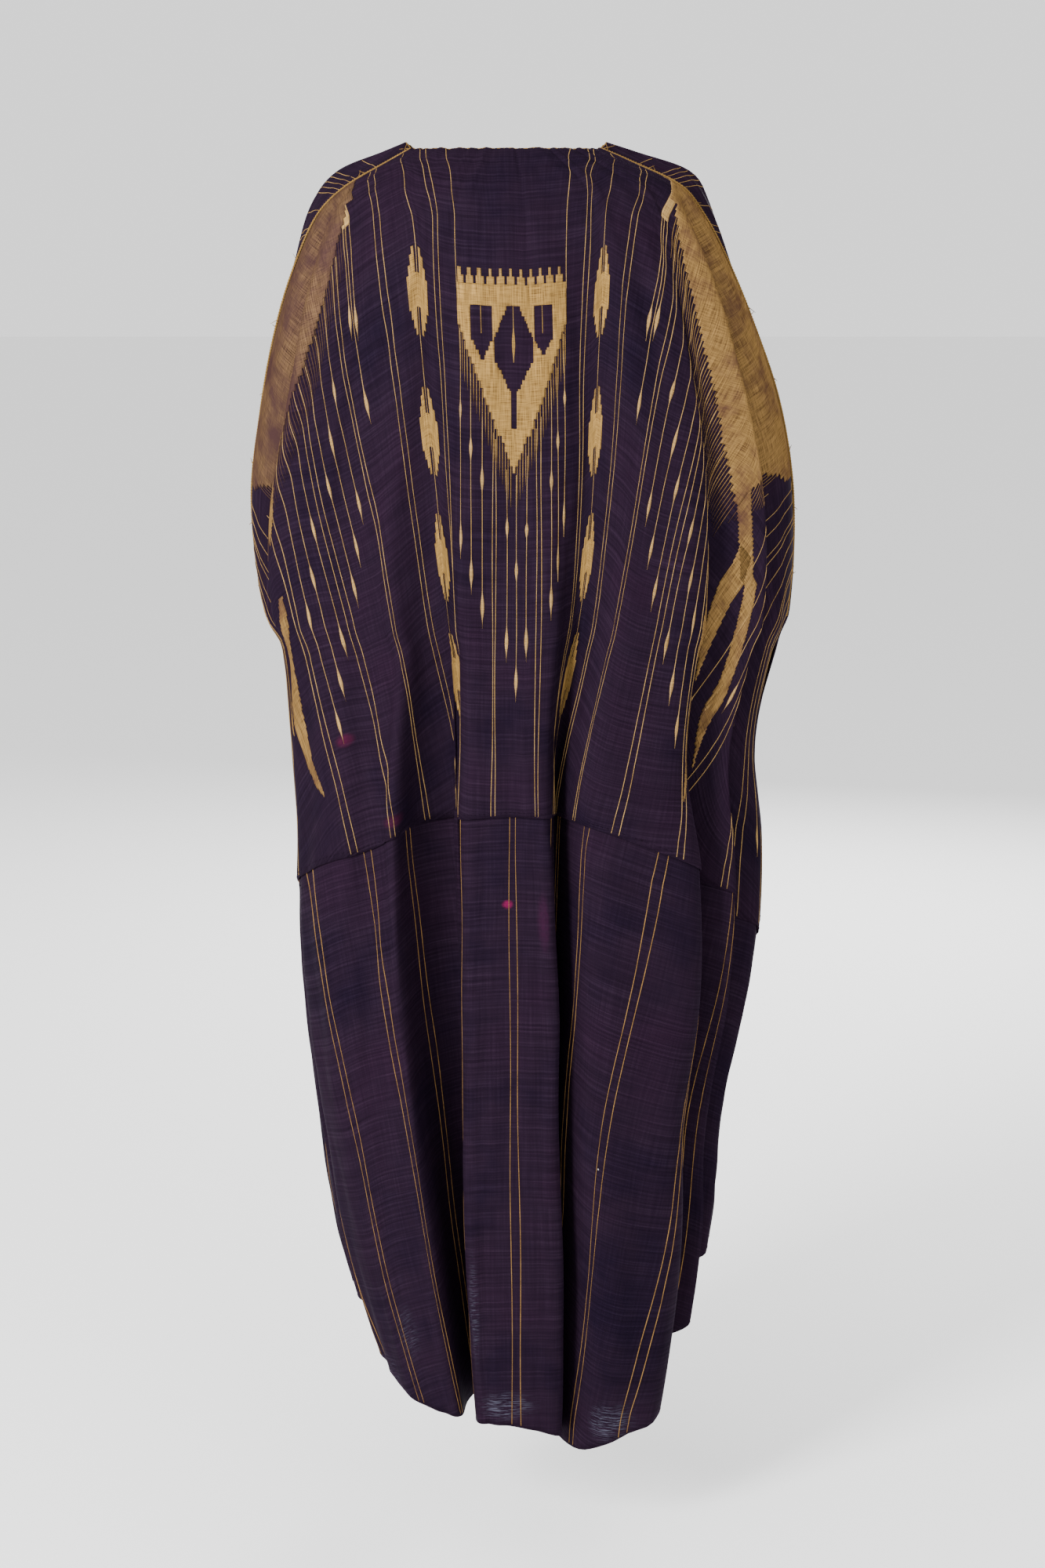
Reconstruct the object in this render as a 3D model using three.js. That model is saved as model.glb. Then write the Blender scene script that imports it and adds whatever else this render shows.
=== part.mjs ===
// A worn aba: a wide open-fronted robe of two loom widths, one above the other. Each width is a single
// strip that runs from one front edge round the back to the other front edge. The upper strip is folded
// at the sides and its top edges are sewn together along the shoulders and down the arms, which leaves
// the neck, the front and two hand slits open. Millimetres; +Z is up, +Y is the wearer's front, +X is the
// wearer's right, and the origin lies between the shoulders at the neck.
import * as THREE from "three";

// Driving sizes of the cloth.
const WALL = 1.6; // thickness of the cloth
const SEAM_GAP = 0.3; // clearance between sewn edges
const LAP = 12; // how far the upper width laps over the lower one
const LAP_LIFT = WALL + 0.7; // how far the lapping edge stands off the width under it
const SLIT_GAPE = 60; // how wide each hand slit stands open
const CORD_RADIUS = 1.5; // gold cord couched along each shoulder seam
const CORD_CLEARANCE = 1.8; // keeps the cord out of the crease that it lies over
const CORD_STEPS = 24;
const CORD_SIDES = 8;

// Level rows of the cloth: height at the middle of the back, how much lower the row hangs at each side
// line and at the fullest part of each back lobe, and how many grid rows lie between it and the next.
const LEVELS = [
  { name: "neck", z: -8, left: 0, right: 0, leftLobe: 0, rightLobe: 0, rows: 10 },
  { name: "wrist", z: -430, left: 75, right: 75, leftLobe: 0, rightLobe: 0, rows: 3 },
  { name: "slit end", z: -560, left: 95, right: 120, leftLobe: 6, rightLobe: 0, rows: 2 },
  { name: "waist", z: -684, left: 115, right: 172, leftLobe: 16, rightLobe: 16, rows: 9 },
  { name: "hem", z: -1362, left: -94, right: -150, leftLobe: 6, rightLobe: 85, rows: 0 },
];
const ROW_EVENNESS = 0.35; // 1 would space the rows under the neck evenly
const STEPS = 3; // columns between one fold line and the next
const SIDE_REACH = 2 * STEPS; // columns over which a parted side closes again
const MITRE_LIMIT = 1.6; // most that the wall is lengthened across a sharp crease

// Outline of the hanging robe: half width to each side, place of the side line, depth behind and in
// front of the neck point, and how far each front edge lies from the middle.
const OUTLINE = [
  { z: 0, left: 88, right: 76, sideY: -34, back: 58, front: 10, edge: 84 },
  { z: -20, left: 124, right: 124, sideY: -34, back: 78, front: 52, edge: 83 },
  { z: -45, left: 168, right: 177, sideY: -33, back: 98, front: 82, edge: 81 },
  { z: -70, left: 196, right: 199, sideY: -29, back: 108, front: 96, edge: 80 },
  { z: -110, left: 218, right: 222, sideY: -20, back: 118, front: 108, edge: 78 },
  { z: -180, left: 244, right: 254, sideY: -8, back: 126, front: 118, edge: 76 },
  { z: -280, left: 267, right: 290, sideY: 4, back: 131, front: 124, edge: 75 },
  { z: -380, left: 279, right: 307, sideY: 10, back: 135, front: 128, edge: 75 },
  { z: -500, left: 265, right: 303, sideY: 16, back: 141, front: 134, edge: 76 },
  { z: -530, left: 246, right: 290, sideY: 16, back: 143, front: 136, edge: 76 },
  { z: -640, left: 238, right: 266, sideY: 14, back: 149, front: 142, edge: 78 },
  { z: -760, left: 231, right: 275, sideY: 8, back: 156, front: 150, edge: 80 },
  { z: -900, left: 228, right: 266, sideY: 4, back: 164, front: 158, edge: 82 },
  { z: -1050, left: 214, right: 236, sideY: 0, back: 172, front: 164, edge: 85 },
  { z: -1200, left: 194, right: 224, sideY: 0, back: 180, front: 168, edge: 88 },
  { z: -1300, left: 168, right: 208, sideY: 0, back: 184, front: 170, edge: 90 },
  { z: -1420, left: 128, right: 180, sideY: 0, back: 186, front: 172, edge: 90 },
];
const BOXY_X = 0.9; // under 1, the outline is fuller than an ellipse
const BOXY_Y = 0.8;

// Fold lines, from the middle of the back outwards, each given at five heights. "at" runs 0 (middle of
// the back), 1 (side line), 2 (front edge); "deep" is how far the line stands in (-) or out (+) from the
// outline. A crest whose "at" passes its neighbour's overhangs it.
const FOLD_HEIGHTS = [-50, -230, -490, -740, -1370]; // shoulder, chest, wrist, waist, hem
const BACK_MIDDLE = { name: "back middle", at: [0, 0, 0, 0, 0], deep: [0, 0, 0, 0, 0] };
const BACK_LEFT = [
  { name: "centre panel", at: [0.08, 0.09, 0.1, 0.11, 0.13], deep: [0, 0, 0, 0, -2] },
  { name: "inner trough", at: [0.16, 0.165, 0.165, 0.2, 0.165], deep: [0, -8, -26, -66, -120] },
  { name: "inner lobe", at: [0.26, 0.26, 0.27, 0.33, 0.22], deep: [0, 0, 0, -2, -8] },
  { name: "shallow trough", at: [0.4, 0.4, 0.42, 0.45, 0.4], deep: [0, -6, -14, -16, 2] },
  { name: "outer lobe", at: [0.56, 0.51, 0.58, 0.62, 0.56], deep: [0, 4, 6, 6, 0] },
  { name: "crest", at: [0.7, 0.615, 0.75, 0.9, 0.72], deep: [0, 9, 8, 2, -8] },
  { name: "under the crest", at: [0.78, 0.56, 0.69, 0.83, 0.8], deep: [0, -44, -70, -74, -78] },
  { name: "sleeve back", at: [0.9, 0.78, 0.9, 0.95, 0.93], deep: [0, -3, 0, 0, -6] },
];
const BACK_RIGHT = [
  { name: "centre panel", at: [0.08, 0.09, 0.08, 0.08, 0.17], deep: [0, 0, 0, 0, -6] },
  { name: "inner trough", at: [0.24, 0.2, 0.155, 0.158, 0.262], deep: [0, -12, -32, -66, -116] },
  { name: "inner lobe", at: [0.32, 0.27, 0.2, 0.163, 0.268], deep: [0, 4, 6, 4, -2] },
  { name: "lobe edge", at: [0.48, 0.44, 0.44, 0.5, 0.62], deep: [0, 2, 4, 4, 6] },
  { name: "outer trough", at: [0.57, 0.5, 0.52, 0.53, 0.7], deep: [0, -4, -34, -82, -84] },
  { name: "crest", at: [0.69, 0.615, 0.65, 0.68, 0.8], deep: [0, 9, 8, 0, 0] },
  { name: "under the crest", at: [0.77, 0.56, 0.6, 0.79, 0.88], deep: [0, -44, -64, -62, -74] },
  { name: "sleeve back", at: [0.9, 0.78, 0.84, 0.92, 0.95], deep: [0, -3, -4, 0, 0] },
];
const SIDE = { name: "side line", at: [1, 1, 1, 1, 1], deep: [0, 0, 0, 0, 0] };
const FRONT = [
  { name: "shoulder roll", at: [1.12, 1.1, 1.09, 1.08, 1.08], deep: [0, 0, 4, 6, 5] },
  { name: "arm trough", at: [1.22, 1.19, 1.18, 1.18, 1.17], deep: [0, -18, -56, -68, -76] },
  { name: "first lobe", at: [1.31, 1.29, 1.28, 1.28, 1.27], deep: [0, 0, 4, 6, 8] },
  { name: "second trough", at: [1.4, 1.38, 1.37, 1.36, 1.35], deep: [0, -40, -70, -80, -84] },
  { name: "second lobe", at: [1.52, 1.5, 1.49, 1.49, 1.5], deep: [0, 2, 6, 8, 12] },
  { name: "third trough", at: [1.64, 1.62, 1.61, 1.6, 1.62], deep: [0, -36, -62, -70, -88] },
  { name: "third lobe", at: [1.73, 1.71, 1.7, 1.7, 1.72], deep: [0, 0, 3, 3, 2] },
  { name: "inner trough", at: [1.82, 1.8, 1.79, 1.79, 1.8], deep: [0, -18, -52, -74, -86] },
  { name: "edge lobe", at: [1.92, 1.91, 1.9, 1.9, 1.9], deep: [0, 0, 2, 4, 8] },
  { name: "front edge", at: [2, 2, 2, 2, 2], deep: [0, 0, 0, 0, -6] },
];

// The front cloth rolls over the shoulder before it meets the back at the seam.
const ROLL = { reach: 0.4, up: 16, out: 16 };
const ROLL_FADE = { heights: [0, -20, -45, -80, -190, -300], share: [0.3, 0.6, 1, 0.85, 0, 0] };

const { clamp, lerp } = THREE.MathUtils;

/** Smooth value at height z of a list of values given at falling heights: a cubic through them. */
function read(heights, values, z) {
  const last = heights.length - 1;
  let i = 0;
  while (i < last - 1 && z < heights[i + 1]) i++;
  const slope = (k) => {
    const above = Math.max(k - 1, 0);
    const below = Math.min(k + 1, last);
    return (values[below] - values[above]) / (heights[below] - heights[above]);
  };
  const span = heights[i + 1] - heights[i];
  const s = clamp((z - heights[i]) / span, 0, 1);
  const rise = s * s * (3 - 2 * s);
  const bend = slope(i) * s * (1 - s) ** 2 - slope(i + 1) * s * s * (1 - s);
  return lerp(values[i], values[i + 1], rise) + span * bend;
}

const OUTLINE_HEIGHTS = OUTLINE.map((row) => row.z);
const OUTLINE_COLUMNS = Object.fromEntries(
  Object.keys(OUTLINE[0]).map((column) => [column, OUTLINE.map((row) => row[column])]),
);
const outline = (column, z) => read(OUTLINE_HEIGHTS, OUTLINE_COLUMNS[column], z);

/** Where a fold line crosses a level row, on the left (side -1) or right (side 1). */
function foldPoint(line, side, level) {
  const width = side < 0 ? "left" : "right";
  const drop = level[width];
  const at = read(FOLD_HEIGHTS, line.at, level.z);
  const quarter = Math.PI / 2;
  const edge = outline("edge", level.z) / outline(width, level.z);
  const edgeAngle = Math.PI - Math.asin(Math.min(edge, 1) ** (1 / BOXY_X));
  const angle = at <= 1 ? at * quarter : lerp(quarter, edgeAngle, at - 1);

  const across = Math.sin(angle);
  const along = Math.abs(Math.cos(angle));
  const lobe = at < 1 ? level[width + "Lobe"] * Math.sin(2 * angle) ** 2 : 0;
  const z = level.z - drop * (1 - along) - lobe;
  const depth = at < 1 ? -outline("back", z) : outline("front", z);
  const x = side * outline(width, z) * across ** BOXY_X;
  const y = lerp(outline("sideY", z), depth, along ** BOXY_Y);

  const rollAt = clamp((at - 1) / ROLL.reach, 0, 1);
  const roll = Math.sin(Math.PI * rollAt) * read(ROLL_FADE.heights, ROLL_FADE.share, z);
  const out = read(FOLD_HEIGHTS, line.deep, z) + ROLL.out * roll;
  const stretch = 1 + out / Math.hypot(x, y);
  return new THREE.Vector3(x * stretch, y * stretch, z + ROLL.up * roll);
}

const SEGMENTS = 2 * (BACK_LEFT.length + 1 + FRONT.length);
const COLUMNS = SEGMENTS * STEPS;
const LEFT_SIDE = FRONT.length * STEPS; // columns of the two side lines
const RIGHT_SIDE = COLUMNS - LEFT_SIDE;
const CORNER_ROW = LEVELS[0].rows; // where the sewn shoulder seam ends and the hand slit starts
const SLIT_END_ROW = CORNER_ROW + LEVELS[1].rows;

/** A row of the grid: points spread along a smooth curve through every fold line, left front to right. */
function gridRow(level) {
  const half = (side, back) => [...back, SIDE, ...FRONT].map((line) => foldPoint(line, side, level));
  const points = [
    ...half(-1, BACK_LEFT).reverse(),
    foldPoint(BACK_MIDDLE, 1, level),
    ...half(1, BACK_RIGHT),
  ];
  const curve = new THREE.CatmullRomCurve3(points, false, "centripetal");
  return Array.from({ length: COLUMNS + 1 }, (_, i) => curve.getPoint(i / COLUMNS));
}

const LEVEL_HEIGHTS = LEVELS.map((level) => level.z);

/** Rows lie closer together just under the neck, where the shoulders turn. */
const rowEase = (levelIndex, s) => (levelIndex === 0 ? lerp(s * s, s, ROW_EVENNESS) : s);

/** Grid rows from one named level down to another, spread evenly between the levels. */
function gridRows(from, to) {
  const first = LEVELS.findIndex((level) => level.name === from);
  const last = LEVELS.findIndex((level) => level.name === to);
  const rows = [];
  for (let k = first; k < last; k++)
    for (let j = 0; j < LEVELS[k].rows; j++)
      rows.push(lerp(LEVELS[k].z, LEVELS[k + 1].z, rowEase(k, j / LEVELS[k].rows)));
  rows.push(LEVELS[last].z);
  return rows.map((z) => {
    const column = (name) => read(LEVEL_HEIGHTS, LEVELS.map((level) => level[name]), z);
    const [left, right] = [column("left"), column("right")];
    return gridRow({ z, left, right, leftLobe: column("leftLobe"), rightLobe: column("rightLobe") });
  });
}

/**
 * Mid-surface of a strip: points and quads, with the side lines split into two edges above row "splitTo".
 * "sewn" gives, for each point, the point that shares its normal: both edges of the shoulder seam do.
 */
function strip(rows, splitTo) {
  const points = [];
  const quads = [];
  const sewn = [];
  const index = rows.map((row, j) =>
    row.map((p, i) => {
      const split = j < splitTo && (i === LEFT_SIDE || i === RIGHT_SIDE);
      const left = points.push(p.clone()) - 1;
      const right = split ? points.push(p.clone()) - 1 : left;
      sewn[left] = left;
      sewn[right] = j < CORNER_ROW ? left : right;
      return { left, right };
    }),
  );
  for (let j = 0; j < rows.length - 1; j++)
    for (let i = 0; i < COLUMNS; i++)
      quads.push([
        index[j][i].right,
        index[j][i + 1].left,
        index[j + 1][i + 1].left,
        index[j + 1][i].right,
      ]);
  return { points, quads, index, sewn };
}

/** Unit normals out of a mid-surface, lengthened at creases so that both faces stay a wall apart. */
function wallNormals({ points, quads, sewn }) {
  const normals = points.map(() => new THREE.Vector3());
  const faces = quads.map(([a, b, c, d]) => {
    const p = new THREE.Vector3().subVectors(points[c], points[a]);
    const q = new THREE.Vector3().subVectors(points[d], points[b]);
    return p.cross(q).normalize();
  });
  quads.forEach((quad, k) => quad.forEach((v) => normals[sewn[v]].add(faces[k])));
  normals.forEach((n) => n.normalize());
  const tightest = points.map(() => 1);
  quads.forEach((quad, k) =>
    quad.forEach((v) => {
      tightest[sewn[v]] = Math.min(tightest[sewn[v]], normals[sewn[v]].dot(faces[k]));
    }),
  );
  const longest = 1 / MITRE_LIMIT;
  return sewn.map((v) => normals[v].clone().divideScalar(Math.max(tightest[v], longest)));
}

/** A closed cloth wall on both sides of a mid-surface, with a face along every free edge. */
function clothWall(surface) {
  const { points, quads } = surface;
  const normals = wallNormals(surface);
  const count = points.length;
  const position = [];
  [WALL / 2, -WALL / 2].forEach((reach) =>
    points.forEach((p, v) => position.push(...p.clone().addScaledVector(normals[v], reach).toArray())),
  );
  const faces = [];
  const used = new Map();
  quads.forEach(([a, b, c, d]) => {
    faces.push(a, b, c, a, c, d);
    faces.push(count + a, count + c, count + b, count + a, count + d, count + c);
    [[a, b], [b, c], [c, d], [d, a]].forEach(([from, to]) => used.set(from + "," + to, [from, to]));
  });
  used.forEach(([from, to]) => {
    if (used.has(to + "," + from)) return;
    faces.push(to, from, count + from, to, count + from, count + to);
  });
  const geometry = new THREE.BufferGeometry();
  geometry.setAttribute("position", new THREE.Float32BufferAttribute(position, 3));
  geometry.setIndex(faces);
  return geometry;
}

/** Parts the two layers at each side line: a hair along the sewn seam, wider at the hand slit. */
function openSides(surface) {
  [LEFT_SIDE, RIGHT_SIDE].forEach((side) => {
    surface.index.slice(0, SLIT_END_ROW).forEach((row, j) => {
      const downSlit = clamp((j - CORNER_ROW) / (SLIT_END_ROW - CORNER_ROW), 0, 1);
      const gape = SLIT_GAPE * Math.sin(Math.PI * downSlit);
      const tip = surface.points[row[side].left].clone();
      [-1, 1].forEach((way) => {
        const inwards = surface.points[row[side + way * 2].left].clone().sub(tip).normalize();
        for (let k = 0; k < SIDE_REACH; k++) {
          const entry = row[side + way * k];
          const own = way < 0 ? entry.left : entry.right;
          const shift = (gape * (1 - k / SIDE_REACH) ** 2 + (k ? 0 : SEAM_GAP)) / 2;
          surface.points[own].addScaledVector(inwards, shift);
        }
      });
    });
  });
}

function upperSurface() {
  const rows = gridRows("neck", "waist");
  const [waistRow, nextRow] = gridRows("waist", "hem");
  const lapShare = LAP / (waistRow[COLUMNS / 2].z - nextRow[COLUMNS / 2].z);
  rows.push(waistRow.map((p, i) => p.clone().lerp(nextRow[i], lapShare)));
  const surface = strip(rows, SLIT_END_ROW);
  openSides(surface);
  const normals = wallNormals(surface);
  surface.index.slice(-2).forEach((row) =>
    row.forEach(({ left }) => surface.points[left].addScaledVector(normals[left], LAP_LIFT)),
  );
  return surface;
}

/** A round cord laid on the shoulder seam at side line "side", from the neck to the corner of the slit. */
function shoulderCord(surface, side) {
  const normals = wallNormals(surface);
  const lift = WALL / 2 + CORD_RADIUS + CORD_CLEARANCE;
  const path = surface.index.slice(0, CORNER_ROW).map((row) => {
    const { left, right } = row[side];
    const seam = surface.points[left].clone().lerp(surface.points[right], 0.5);
    return seam.addScaledVector(normals[left], lift);
  });
  const round = new THREE.Shape().absarc(0, 0, CORD_RADIUS, 0, 2 * Math.PI);
  return new THREE.ExtrudeGeometry(round, {
    extrudePath: new THREE.CatmullRomCurve3(path, false, "centripetal"),
    steps: CORD_STEPS,
    curveSegments: CORD_SIDES / 2,
  });
}

const silk = new THREE.MeshStandardMaterial({ color: 0x2e2038, roughness: 0.62, metalness: 0 });
const goldThread = new THREE.MeshStandardMaterial({ color: 0xb09055, roughness: 0.45, metalness: 0.6 });

const robe = new THREE.Group();
const add = (name, geometry, material) => {
  const mesh = new THREE.Mesh(geometry, material);
  mesh.name = name;
  robe.add(mesh);
};
const upper = upperSurface();
add("upper_width", clothWall(upper), silk);
add("lower_width", clothWall(strip(gridRows("waist", "hem"), 0)), silk);
add("left_shoulder_cord", shoulderCord(upper, LEFT_SIDE), goldThread);
add("right_shoulder_cord", shoulderCord(upper, RIGHT_SIDE), goldThread);

export default robe;
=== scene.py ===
# %% [markdown]
# # A worn aba, seen from behind
# An aba is a wide robe made of two strips of cloth. The upper strip is folded at the sides and sewn
# along the shoulders, and the lower strip hangs from its bottom edge all the way round. This script
# rebuilds the cloth as thin sheets, weaves the gold pattern onto it and sets it in soft studio light.

import math

import bpy
import numpy as np
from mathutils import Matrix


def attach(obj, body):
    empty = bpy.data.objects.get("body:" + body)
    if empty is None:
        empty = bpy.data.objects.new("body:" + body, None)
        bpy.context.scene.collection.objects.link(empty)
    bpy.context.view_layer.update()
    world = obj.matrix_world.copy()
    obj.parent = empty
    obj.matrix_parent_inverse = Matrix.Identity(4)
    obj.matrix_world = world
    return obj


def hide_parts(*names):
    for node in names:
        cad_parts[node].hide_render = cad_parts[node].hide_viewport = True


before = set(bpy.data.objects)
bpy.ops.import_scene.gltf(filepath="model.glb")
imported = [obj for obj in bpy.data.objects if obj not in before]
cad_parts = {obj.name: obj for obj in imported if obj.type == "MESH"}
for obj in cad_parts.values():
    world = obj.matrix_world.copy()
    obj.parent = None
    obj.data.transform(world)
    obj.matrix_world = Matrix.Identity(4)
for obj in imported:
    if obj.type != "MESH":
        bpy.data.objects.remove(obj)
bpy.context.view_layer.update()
MM = 0.001  # the tables below are in millimetres, and Blender works in metres

# %% [markdown]
# ## The hang of the cloth
# Cloth that hangs from two shoulders is easiest to describe by its folds. Each fold line is followed
# from the shoulder to the hem and says how far round the robe it lies and how far it stands in or out
# of the plain outline. Simulated cloth would fall in folds of its own choosing, so here the folds
# are placed one by one, as a tailor would arrange them on a stand.

# %% Outline, levels and fold lines
# Level rows: height at the middle of the back, then how much lower the row hangs at each side line
# and at the fullest part of each back lobe.
LEVEL_HEIGHTS = [-8, -430, -560, -684, -1362]  # neck, wrist, slit end, waist, hem
LEVEL_DROPS = {
    "left": [0, 75, 95, 115, -94],
    "right": [0, 75, 120, 172, -150],
    "left_lobe": [0, 0, 6, 16, 6],
    "right_lobe": [0, 0, 0, 16, 85],
}
NECK, WRIST, SLIT_END, WAIST, HEM = LEVEL_HEIGHTS

# Outline by height: half width to each side, place of the side line, depth behind and in front of
# the neck point, and how far each front edge lies from the middle.
OUTLINE_NAMES = ["height", "left", "right", "side_y", "back", "front", "edge"]
OUTLINE_ROWS = [
    [0, 88, 76, -34, 58, 10, 84],
    [-20, 124, 124, -34, 78, 52, 83],
    [-45, 168, 177, -33, 98, 82, 81],
    [-70, 196, 199, -29, 108, 96, 80],
    [-110, 218, 222, -20, 118, 108, 78],
    [-180, 244, 254, -8, 126, 118, 76],
    [-280, 267, 290, 4, 131, 124, 75],
    [-380, 279, 307, 10, 135, 128, 75],
    [-500, 265, 303, 16, 141, 134, 76],
    [-530, 246, 290, 16, 143, 136, 76],
    [-640, 238, 266, 14, 149, 142, 78],
    [-760, 231, 275, 8, 156, 150, 80],
    [-900, 228, 266, 4, 164, 158, 82],
    [-1050, 214, 236, 0, 172, 164, 85],
    [-1200, 194, 224, 0, 180, 168, 88],
    [-1300, 168, 208, 0, 184, 170, 90],
    [-1420, 128, 180, 0, 186, 172, 90],
]
OUTLINE = dict(zip(OUTLINE_NAMES, np.array(OUTLINE_ROWS, float).T))
BOXY_X, BOXY_Y = 0.9, 0.8  # under 1, the outline is fuller than an ellipse

# Fold lines from the middle of the back outwards: name, how far round (0 middle of the back, 1 side
# line, 2 front edge) and how far in (-) or out (+), at five heights; the back ones end with the
# cloth's own distance from its middle line, which the robe wears a little to the right. Most of those
# distances were estimated by eye on a worn robe and turned into cloth distances by another program.
FOLD_HEIGHTS = [-50, -230, -490, -740, -1370]  # shoulder, chest, wrist, waist, hem
BACK_MIDDLE = ("back middle", [0, 0, 0, 0, 0], [0, 0, 0, 0, 0], [-1, -5, -4, -3, -8])
BACK_LEFT = [
    ("centre panel", [0.08, 0.09, 0.1, 0.11, 0.13], [0, 0, 0, 0, -2], [29, 52, 59, 55, 44]),
    ("inner trough", [0.16, 0.165, 0.165, 0.2, 0.165], [0, -8, -26, -66, -120], [52, 83, 110, 150, 170]),
    ("inner lobe", [0.26, 0.26, 0.27, 0.33, 0.22], [0, 0, 0, -2, -8], [83, 138, 199, 268, 322]),
    ("shallow trough", [0.4, 0.4, 0.42, 0.45, 0.4], [0, -6, -14, -16, 2], [108, 177, 247, 290, 381]),
    ("outer lobe", [0.56, 0.51, 0.58, 0.62, 0.56], [0, 4, 6, 6, 0], [146, 226, 312, 358, 444]),
    ("crest", [0.7, 0.615, 0.75, 0.9, 0.72], [0, 9, 8, 2, -8], [163, 259, 344, 398, 475]),
    ("under the crest", [0.78, 0.56, 0.69, 0.83, 0.8], [0, -44, -70, -74, -78], [172, 308, 474, 533, 560]),
    ("sleeve back", [0.9, 0.78, 0.9, 0.95, 0.93], [0, -3, 0, 0, -6], [184, 362, 620, 652, 652]),
]
BACK_RIGHT = [
    ("centre panel", [0.08, 0.09, 0.08, 0.08, 0.17], [0, 0, 0, 0, -6], [27, 44, 45, 44, 43]),
    ("inner trough", [0.24, 0.2, 0.155, 0.158, 0.262], [0, -12, -32, -66, -116], [76, 100, 87, 135, 190]),
    ("inner lobe", [0.32, 0.27, 0.2, 0.163, 0.268], [0, 4, 6, 4, -2], [99, 163, 190, 233, 343]),
    ("lobe edge", [0.48, 0.44, 0.44, 0.5, 0.62], [0, 2, 4, 4, 6], [144, 230, 336, 357, 430]),
    ("outer trough", [0.57, 0.5, 0.52, 0.53, 0.7], [0, -4, -34, -82, -84], [160, 246, 366, 435, 492]),
    ("crest", [0.69, 0.615, 0.65, 0.68, 0.8], [0, 9, 8, 0, 0], [178, 291, 437, 532, 563]),
    ("under the crest", [0.77, 0.56, 0.6, 0.79, 0.88], [0, -44, -64, -62, -74], [184, 338, 525, 577, 617]),
    ("sleeve back", [0.9, 0.78, 0.84, 0.92, 0.95], [0, -3, -4, 0, 0], [194, 392, 632, 655, 671]),
]
SIDE = ("side line", [1, 1, 1, 1, 1], [0, 0, 0, 0, 0])
FRONT = [
    ("shoulder roll", [1.12, 1.1, 1.09, 1.08, 1.08], [0, 0, 4, 6, 5]),
    ("arm trough", [1.22, 1.19, 1.18, 1.18, 1.17], [0, -18, -56, -68, -76]),
    ("first lobe", [1.31, 1.29, 1.28, 1.28, 1.27], [0, 0, 4, 6, 8]),
    ("second trough", [1.4, 1.38, 1.37, 1.36, 1.35], [0, -40, -70, -80, -84]),
    ("second lobe", [1.52, 1.5, 1.49, 1.49, 1.5], [0, 2, 6, 8, 12]),
    ("third trough", [1.64, 1.62, 1.61, 1.6, 1.62], [0, -36, -62, -70, -88]),
    ("third lobe", [1.73, 1.71, 1.7, 1.7, 1.72], [0, 0, 3, 3, 2]),
    ("inner trough", [1.82, 1.8, 1.79, 1.79, 1.8], [0, -18, -52, -74, -86]),
    ("edge lobe", [1.92, 1.91, 1.9, 1.9, 1.9], [0, 0, 2, 4, 8]),
    ("front edge", [2, 2, 2, 2, 2], [0, 0, 0, 0, -6]),
]
ROLL_REACH, ROLL_UP, ROLL_OUT = 0.4, 16, 16  # the front rolls over the shoulder before the seam
ROLL_HEIGHTS, ROLL_SHARE = [0, -20, -45, -80, -190, -300], [0.3, 0.6, 1, 0.85, 0, 0]


# %% Smooth tables and smooth curves
def read(heights, values, z):
    """Value at height z of a column given at falling heights: a cubic between each two rows that meets
    both values and has, at each, the slope of the chord between that row's neighbours."""
    heights, values, z = (np.asarray(a, float) for a in (heights, values, z))
    last = len(heights) - 1
    rows = np.arange(last + 1)
    above, below = np.maximum(rows - 1, 0), np.minimum(rows + 1, last)
    slope = (values[below] - values[above]) / (heights[below] - heights[above])
    i = np.clip(np.searchsorted(-heights, -z, side="left") - 1, 0, last - 1)
    span = heights[i + 1] - heights[i]
    s = np.clip((z - heights[i]) / span, 0, 1)
    rise = s * s * (3 - 2 * s)
    bend = slope[i] * s * (1 - s) ** 2 - slope[i + 1] * s * s * (1 - s)
    return values[i] + (values[i + 1] - values[i]) * rise + span * bend


def outline(column, z):
    """One column of the outline table at the heights z, by the cubic of read()."""
    return read(OUTLINE["height"], OUTLINE[column], z)


def curve_through(points, samples):
    """Smooth curves through points[row, k]: Catmull-Rom cubics whose parameter grows with the square
    root of the distance between points, which keeps tight folds from overshooting."""
    before = 2 * points[:, :1] - points[:, 1:2]
    after = 2 * points[:, -1:] - points[:, -2:-1]
    p = np.concatenate([before, points, after], axis=1)
    i = np.minimum(samples.astype(int), points.shape[1] - 2)
    s = (samples - i)[None, :, None]
    p0, p1, p2, p3 = (p[:, i + k] for k in range(4))
    step = [np.maximum(np.linalg.norm(b - a, axis=2, keepdims=True) ** 0.5, 1e-4)
            for a, b in ((p0, p1), (p1, p2), (p2, p3))]
    leave = ((p1 - p0) / step[0] - (p2 - p0) / (step[0] + step[1]) + (p2 - p1) / step[1]) * step[1]
    arrive = ((p2 - p1) / step[1] - (p3 - p1) / (step[1] + step[2]) + (p3 - p2) / step[2]) * step[1]
    cubic, square = 2 * p1 - 2 * p2 + leave + arrive, -3 * p1 + 3 * p2 - 2 * leave - arrive
    return p1 + leave * s + square * s**2 + cubic * s**3


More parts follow.
